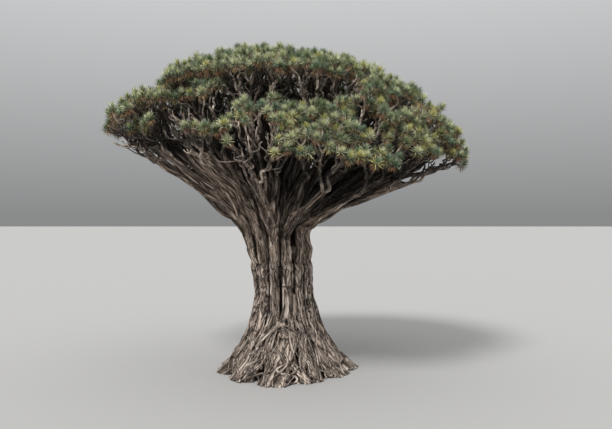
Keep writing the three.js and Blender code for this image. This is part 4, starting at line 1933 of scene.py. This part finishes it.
@dataclass
class Rosettes:
    """The leaf rosettes on the twigs' tips, in one piece for each tone."""

    tips: list[Tip]
    variants: int = 4
    sizes: Pair = (0.7, 1.0)
    # How deep a rosette at the back must sink to be given dark tones: painted shade.
    shadowed_depth: float = 0.5
    young: Greens = Greens(0.07, 0.26, 0.39, 0.22)
    grown: Greens = Greens(0.03, 0.18, 0.32, 0.24)
    shaded: Triple = (0.78, 0.1, 0.12)
    old: Triple = (0.38, 0.3, 0.32)
    sun_height: float = 13.6
    sun_fall: float = 3.5

    def tufts(self, layer: Layer) -> bpy.types.Collection:
        """Makes the tufts of a layer, in a collection of their own."""
        group = bpy.data.collections.new(f"tufts_{layer.name}")
        for variant in range(self.variants):
            group.objects.link(layer.tuft(70 + variant + 10 * LAYERS.index(layer)))
        return group

    def deal(self) -> dict[tuple[str, Tone], list[int]]:
        """Deals out tones to each rosette's layers.

        Returns:
            The rosettes' numbers for each layer and tone.
        """
        random = np.random.default_rng(51)
        dealt: dict[tuple[str, Tone], list[int]] = {}
        for number, tip in enumerate(self.tips):
            # Low rosettes in front, where the low sun falls, take more of the bright fresh green: painted
            # sunlight.
            low = float(np.clip((self.sun_height - tip.place[2]) / self.sun_fall, 0, 1))
            sun = low * float(tip.place[1] < 0)
            young, grown = self.young.pick(random, sun), self.grown.pick(random, sun)
            sunk = float((tip.mass.centre - tip.place) @ tip.mass.facing)
            # Rosettes sunk deep in the back of the crown take dark tones: painted shade.
            if sunk > self.shadowed_depth and tip.place[1] > 0:
                young, grown = Tone.GLAUCOUS, Tone.DEEP
            # The shaded layer under each rosette is mostly near-black: painted shade between the rosettes.
            shaded = random.choice([Tone.DEEP, Tone.GLAUCOUS, Tone.OLIVE], p=self.shaded)
            old = random.choice([Tone.OLIVE, Tone.STRAW, Tone.RUST], p=self.old)
            for layer, tone in zip(LAYERS, (young, grown, shaded, old)):
                dealt.setdefault((layer.name, tone), []).append(number)
        return dealt

    def finished(self, nodes: Sequence[str]) -> list[bpy.types.Object]:
        """Builds the leaves.

        Args:
            nodes: The solids that the leaves stand for.

        Returns:
            One piece for each tone.
        """
        random = np.random.default_rng(61)
        places = np.array([tip.place for tip in self.tips])
        turns = []
        for tip in self.tips:
            spin = Quaternion((0, 0, 1), random.uniform(0, FULL_TURN))
            turns.append(Vector(tip.axis).to_track_quat("Z", "Y") @ spin)
        angles = np.array([turn.to_euler() for turn in turns])
        sizes = random.uniform(*self.sizes, len(self.tips))
        picks = random.integers(0, self.variants, len(self.tips))
        parts: dict[Tone, list[bpy.types.Mesh]] = {}
        groups = {layer.name: self.tufts(layer) for layer in LAYERS}
        dealt = self.deal()
        for name, tone in sorted(dealt, key=lambda key: (key[1].name, key[0])):
            chosen = np.array(dealt[name, tone])
            leaves = SprayTree(groups[name], tone).spread(
                places[chosen], angles[chosen], sizes[chosen], picks[chosen]
            )
            parts.setdefault(tone, []).append(leaves)
        return [self.joined(tone, meshes, nodes) for tone, meshes in parts.items()]

    def joined(
        self, tone: Tone, meshes: Sequence[bpy.types.Mesh], nodes: Sequence[str]
    ) -> bpy.types.Object:
        """Joins the leaves of a tone into one piece.

        Args:
            tone: The tone.
            meshes: The leaves of each layer. They are removed.
            nodes: The solids that the leaves stand for.

        Returns:
            The piece.
        """
        points, faces, count = [], [], 0
        for mesh in meshes:
            rows = np.empty(len(mesh.vertices) * 3, np.float32)
            mesh.vertices.foreach_get("co", rows)
            corners = np.empty(len(mesh.loops), np.int32)
            mesh.loops.foreach_get("vertex_index", corners)
            points.append(rows.reshape(-1, 3))
            faces.append(corners.reshape(-1, 3) + count)
            count += len(mesh.vertices)
            bpy.data.meshes.remove(mesh)
        name = f"leaves_{tone.value.name}"
        piece = mesh_piece(name, np.concatenate(points), [np.concatenate(faces)], {}, False)
        piece.data.materials.append(bpy.data.materials[f"leaf_{tone.value.name}"])
        LOG.info("%s: %d triangles", piece.name, len(piece.data.polygons))
        return dress(piece, "foliage", *nodes)


@dataclass
class SprayTree:
    """Geometry nodes that set a tuft on each point, turned and sized by the point's own values."""

    tufts: bpy.types.Collection
    tone: Tone

    def build(self) -> bpy.types.NodeTree:
        """Makes the node tree."""
        tree = bpy.data.node_groups.new(f"spray_{self.tufts.name}_{self.tone.name}", "GeometryNodeTree")
        face = tree.interface
        face.new_socket("Points", in_out="INPUT", socket_type="NodeSocketGeometry")
        face.new_socket("Tufts", in_out="INPUT", socket_type="NodeSocketCollection")
        face.new_socket("Leaf size", in_out="INPUT", socket_type="NodeSocketFloat")
        face.new_socket("Leaves", in_out="OUTPUT", socket_type="NodeSocketGeometry")
        entry = tree.nodes.new("NodeGroupInput")
        parts = {"Collection": entry.outputs["Tufts"], "Separate Children": True, "Reset Children": True}
        info = add_node(tree, "GeometryNodeCollectionInfo", parts)
        values = {}
        for key, kind in (("turn", "FLOAT_VECTOR"), ("size", "FLOAT"), ("pick", "INT")):
            values[key] = add_node(tree, "GeometryNodeInputNamedAttribute", {"Name": key}, data_type=kind)
        turn = {"Euler": values["turn"].outputs["Attribute"]}
        rotation = add_node(tree, "FunctionNodeEulerToRotation", turn)
        sizes = {0: values["size"].outputs["Attribute"], 1: entry.outputs["Leaf size"]}
        scale = add_node(tree, "ShaderNodeMath", sizes, operation="MULTIPLY")
        places = {
            "Points": entry.outputs["Points"],
            "Instance": info.outputs["Instances"],
            "Pick Instance": True,
            "Instance Index": values["pick"].outputs["Attribute"],
            "Rotation": rotation.outputs["Rotation"],
            "Scale": scale.outputs["Value"],
        }
        instance = add_node(tree, "GeometryNodeInstanceOnPoints", places)
        leaves = {"Geometry": instance.outputs["Instances"]}
        realize = add_node(tree, "GeometryNodeRealizeInstances", leaves)
        finish = {"Geometry": realize.outputs["Geometry"], "Material": finish_of(self.tone)}
        paint = add_node(tree, "GeometryNodeSetMaterial", finish)
        feed(tree, tree.nodes.new("NodeGroupOutput"), {"Leaves": paint.outputs["Geometry"]})
        return tree

    def spread(self, places: Array, turns: Array, sizes: Array, picks: Array) -> bpy.types.Mesh:
        """Sets the tufts on their points.

        Args:
            places: The points.
            turns: The turn of each tuft, as Euler angles.
            sizes: The size of each tuft.
            picks: The number of the tuft for each point.

        Returns:
            The leaves as a plain mesh.
        """
        mesh = bpy.data.meshes.new("spots")
        mesh.vertices.add(len(places))
        mesh.vertices.foreach_set("co", places.astype(np.float32).ravel())
        for key, kind, member, rows in (
            ("turn", "FLOAT_VECTOR", "vector", turns.astype(np.float32)),
            ("size", "FLOAT", "value", sizes.astype(np.float32)),
            ("pick", "INT", "value", picks.astype(np.int32)),
        ):
            mesh.attributes.new(key, kind, "POINT").data.foreach_set(member, rows.ravel())
        spots = bpy.data.objects.new("spots", mesh)
        bpy.context.scene.collection.objects.link(spots)
        tree = self.build()
        spray = spots.modifiers.new("spray", "NODES")
        spray.node_group = tree
        items = tree.interface.items_tree
        sockets = {item.name: item.identifier for item in items if item.in_out == "INPUT"}
        spray[sockets["Tufts"]] = self.tufts
        spray[sockets["Leaf size"]] = 1.0
        evaluated = spots.evaluated_get(bpy.context.evaluated_depsgraph_get())
        leaves = bpy.data.meshes.new_from_object(evaluated)
        spots.modifiers.clear()
        bpy.data.objects.remove(spots)
        return leaves


def finish_of(tone: Tone) -> bpy.types.Material:
    """Returns a tone's material, made once."""
    return bpy.data.materials.get(f"leaf_{tone.value.name}") or tone.value.build()


@dataclass(frozen=True)
class Fibres:
    """Long fibres, fine strands and grit along a limb, as colour shares and a height.

    Patch, grit and bend are textures, each with its scale and how many finer layers it has.
    """

    detail: float = 5.0
    roughness: float = 0.62
    distortion: float = 0.25
    patch: Pair = (1.7, 4.0)
    grit: Pair = (38.0, 3.0)
    grit_share: float = 0.25
    bend: Pair = (1.9, 2.0)
    bend_size: Triple = (0.3, 0.3, 0.12)
    strand_scale: float = 5.6
    seam_width: float = 0.11

    def build(self) -> bpy.types.NodeTree:
        """Makes the node group that the bark finishes share.

        Returns:
            The node group, with inputs Grain, Fineness and Stretch and outputs Fibre, Patch, Seam and
            Height. Seam is 0 in a seam between two fine strands and 1 on a strand.
        """
        tree = bpy.data.node_groups.new("fibres", "ShaderNodeTree")
        for name, kind in (("Grain", "Vector"), ("Fineness", "Float"), ("Stretch", "Float")):
            tree.interface.new_socket(name, in_out="INPUT", socket_type=f"NodeSocket{kind}")
        for name in ("Fibre", "Patch", "Seam", "Height"):
            tree.interface.new_socket(name, in_out="OUTPUT", socket_type="NodeSocketFloat")
        entry = tree.nodes.new("NodeGroupInput")
        grain = entry.outputs["Grain"]
        parts = {0: 1.0, 1: entry.outputs["Stretch"]}
        inverse = add_node(tree, "ShaderNodeMath", parts, operation="DIVIDE")
        along = add_node(tree, "ShaderNodeCombineXYZ", {"X": 1.0, "Y": 1.0, "Z": inverse.outputs["Value"]})
        parts = {0: grain, 1: along.outputs["Vector"]}
        squeezed = add_node(tree, "ShaderNodeVectorMath", parts, operation="MULTIPLY").outputs["Vector"]
        parts = {
            "Vector": squeezed,
            "Scale": entry.outputs["Fineness"],
            "Detail": self.detail,
            "Roughness": self.roughness,
            "Distortion": self.distortion,
        }
        fibre = add_node(tree, "ShaderNodeTexNoise", parts)
        patch, grit, bend = (
            add_node(tree, "ShaderNodeTexNoise", {"Vector": grain, "Scale": scale, "Detail": detail})
            for scale, detail in (self.patch, self.grit, self.bend)
        )
        parts = {0: bend.outputs["Color"], 1: self.bend_size, 2: squeezed}
        bent = add_node(tree, "ShaderNodeVectorMath", parts, operation="MULTIPLY_ADD")
        parts = {"Vector": bent.outputs["Vector"], "Scale": self.strand_scale}
        strands = add_node(tree, "ShaderNodeTexVoronoi", parts, feature="DISTANCE_TO_EDGE")
        seam = mapped(tree, strands.outputs["Distance"], (0.0, self.seam_width))
        parts = {"Factor": self.grit_share, "A": fibre.outputs["Fac"], "B": grit.outputs["Fac"]}
        height = add_node(tree, "ShaderNodeMix", parts)
        parts = {0: height.outputs["Result"], 1: seam}
        carved = add_node(tree, "ShaderNodeMath", parts, operation="ADD")
        parts = {
            "Fibre": fibre.outputs["Fac"],
            "Patch": patch.outputs["Fac"],
            "Seam": seam,
            "Height": carved.outputs["Value"],
        }
        feed(tree, tree.nodes.new("NodeGroupOutput"), parts)
        return tree


@dataclass
class BarkFinish:
    """The finish of one kind of bark."""

    name: str
    middle: Triple
    pale: Triple
    stretch: float
    bump: float
    seam: float
    fineness: float = 8.0
    dark: Triple = (0.045, 0.034, 0.026)
    # How dark the painted shade gets, deep in a crevice or among the limbs.
    crevice: float = 0.86
    palest: Triple = (0.6, 0.52, 0.46)
    stops: Triple = (0.36, 0.5, 0.66)
    strand_light: float = 1.12
    patch_light: Pair = (0.7, 1.28)
    tone_light: Pair = (0.4, 1.4)
    # A painted highlight on ridges and outer limbs.
    ridge_light: float = 1.3
    specular: float = 0.2
    roughness: float = 0.9
    bump_strength: float = 0.9
    material: bpy.types.Material = field(init=False)

    def build(self, fibres: bpy.types.NodeTree) -> "BarkFinish":
        """Makes the material.

        Args:
            fibres: The shared node group of fibres.

        Returns:
            This finish.
        """
        self.material = bpy.data.materials.new(self.name)
        self.material.use_nodes = True
        tree = self.material.node_tree
        values = {}
        for key in ("grain", "hollow", "tone"):
            values[key] = add_node(tree, "ShaderNodeAttribute", attribute_name=key)
        weave = add_node(tree, "ShaderNodeGroup", node_tree=fibres)
        grain = values["grain"].outputs["Vector"]
        feed(tree, weave, {"Grain": grain, "Fineness": self.fineness, "Stretch": self.stretch})
        ramp = add_node(tree, "ShaderNodeValToRGB", {"Fac": weave.outputs["Fibre"]})
        low, mid, high = self.stops
        stops = ramp.color_ramp.elements
        stops[0].position, stops[0].color = low, (*self.dark, 1)
        stops[1].position, stops[1].color = high, (*self.pale, 1)
        stops.new(mid).color = (*self.middle, 1)
        colour = ramp.outputs["Color"]
        for value, source, target in (
            (weave.outputs["Seam"], (0.0, 1.0), (1 - self.seam, self.strand_light)),
            (weave.outputs["Patch"], (0.35, 0.65), self.patch_light),
            (values["tone"].outputs["Fac"], (-2.2, 1.5), self.tone_light),
            # Painted shade in crevices and among the limbs, and a painted highlight on the ridges.
            (values["hollow"].outputs["Fac"], (0.1, 0.85), (self.ridge_light, 1 - self.crevice)),
        ):
            parts = {0: colour, "Scale": mapped(tree, value, source, target)}
            colour = add_node(tree, "ShaderNodeVectorMath", parts, operation="SCALE").outputs["Vector"]
        parts = {0: colour, 1: self.palest}
        capped = add_node(tree, "ShaderNodeVectorMath", parts, operation="MINIMUM")
        parts = {
            "Strength": self.bump_strength,
            "Distance": self.bump,
            "Height": weave.outputs["Height"],
        }
        bump = add_node(tree, "ShaderNodeBump", parts)
        parts = {
            "Base Color": capped.outputs["Vector"],
            "Normal": bump.outputs["Normal"],
            "Roughness": self.roughness,
            "Specular IOR Level": self.specular,
        }
        feed(tree, tree.nodes["Principled BSDF"], parts)
        return self


@dataclass
class Studio:
    """The camera at the photograph's viewing angle, a pale floor and soft light."""

    eye: Triple = (1.04, -34.0, 7.93)
    frame_width: int = 612
    focal_pixels: float = 656.0
    sensor: float = 36.0
    far: float = 2000.0
    floor_half: float = 400.0
    floor_drop: float = 0.004
    floor_colour: Triple = (0.33, 0.325, 0.315)
    floor_roughness: float = 0.95
    sun_strength: float = 3.2
    sun_width: float = 16
    sun_turn: Pair = (36, -24)
    sky_colour: Triple = (0.98, 0.99, 1.0)
    sky_strength: Pair = (0.26, 1.35)

    def build(self) -> None:
        """Makes the camera, floor, lights and world."""
        scene = bpy.context.scene
        lens = bpy.data.cameras.new("camera")
        lens.sensor_width = self.sensor
        lens.lens = self.focal_pixels / self.frame_width * lens.sensor_width
        lens.clip_end = self.far
        camera = bpy.data.objects.new("camera", lens)
        camera.location = self.eye
        camera.rotation_euler = (math.radians(90), 0, 0)
        scene.collection.objects.link(camera)
        scene.camera = camera
        self.floor()
        self.lights()

    def floor(self) -> None:
        """Makes the pale floor."""
        half = self.floor_half
        signs = np.array([[-1, -1, 0], [1, -1, 0], [1, 1, 0], [-1, 1, 0]], float)
        corners = signs * half - UP * self.floor_drop
        floor = mesh_piece("floor", corners, [np.array([[0, 1, 2, 3]])], {}, False)
        material = bpy.data.materials.new("floor_finish")
        material.use_nodes = True
        finish = {"Base Color": (*self.floor_colour, 1), "Roughness": self.floor_roughness}
        feed(material.node_tree, material.node_tree.nodes["Principled BSDF"], finish)
        floor.data.materials.append(material)

    def lights(self) -> None:
        """Makes a broad soft sun, and a pale sky that is brightest overhead."""
        scene = bpy.context.scene
        scene.view_settings.view_transform = "Standard"
        sun = bpy.data.lights.new("soft_sun", "SUN")
        sun.energy = self.sun_strength
        sun.angle = math.radians(self.sun_width)
        lamp = bpy.data.objects.new("soft_sun", sun)
        lamp.rotation_euler = (*np.radians(self.sun_turn), 0)
        scene.collection.objects.link(lamp)
        world = bpy.data.worlds.new("sky")
        world.use_nodes = True
        tree = world.node_tree
        place = add_node(tree, "ShaderNodeTexCoord").outputs["Generated"]
        split = add_node(tree, "ShaderNodeSeparateXYZ", {"Vector": place})
        strength = mapped(tree, split.outputs["Z"], (0.0, 1.0), self.sky_strength)
        feed(tree, tree.nodes["Background"], {"Color": (*self.sky_colour, 1), "Strength": strength})
        scene.world = world


def build_masses(
    masses: list[Mass],
    form: TrunkForm,
    crown: CrownForm,
    shade: Shade,
    stem_bark: BarkFinish,
    twig_bark: BarkFinish,
) -> list[Tip]:
    """Builds the stems and twigs of all masses.

    Args:
        masses: The masses.
        form: The trunk's form.
        crown: The crown's form.
        shade: The shade among the limbs.
        stem_bark: The stems' bark.
        twig_bark: The twigs' bark.

    Returns:
        The tips that carry rosettes.
    """
    tips: list[Tip] = []
    rings = {"crown": ("top", "inner", "middle"), "rim": ("outer",)}
    stems = Skin("stem_bark")
    for part, names in rings.items():
        twigs = Skin(f"twig_bark_{part}")
        chosen = [mass for mass in masses if mass.ring.name in names]
        for mass in chosen:
            tips.extend(Twigs(mass, masses, form, crown, shade).grow(stems, twigs))
        nodes = [f"foliage_{mass.name}" for mass in chosen]
        dress(twigs.finished(twig_bark.material), "bark", *nodes)
    nodes = [f"bough_{mass.name}" for mass in masses]
    dress(stems.finished(stem_bark.material), "bark", *nodes)
    return tips


def main() -> None:
    """Builds the tree around its frame."""
    logging.basicConfig(level=logging.INFO, format="%(name)s %(message)s")
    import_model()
    Studio().build()
    form = TrunkForm()
    crown = CrownForm()
    masses = crown.masses(form)
    fibres = Fibres().build()
    old_bark = BarkFinish(
        "old_bark", (0.235, 0.187, 0.153), (0.5, 0.43, 0.37), stretch=7.0, bump=0.08, seam=0.72
    ).build(fibres)
    limb_bark = BarkFinish(
        "limb_bark", (0.245, 0.187, 0.148), (0.54, 0.44, 0.365), stretch=6.0, bump=0.05, seam=0.68
    ).build(fibres)
    twig_bark = BarkFinish(
        "twig_bark", (0.215, 0.172, 0.14), (0.46, 0.395, 0.335), stretch=3.0, bump=0.012, seam=0.3,
        fineness=12.0, dark=(0.06, 0.047, 0.037),
    ).build(fibres)
    trunk = Trunk(form, masses)
    trunk.finished(old_bark)
    ClingingRoots(trunk).finished(old_bark)
    shade = Shade(form, crown, masses)
    Boughs(form, masses, trunk.strands(), shade).finished(limb_bark)
    tips = build_masses(masses, form, crown, shade, limb_bark, twig_bark)
    LOG.info("%d rosettes", len(tips))
    Rosettes(tips).finished([f"foliage_{mass.name}" for mass in masses])
    bpy.context.view_layer.update()


if __name__ == "__main__":
    main()
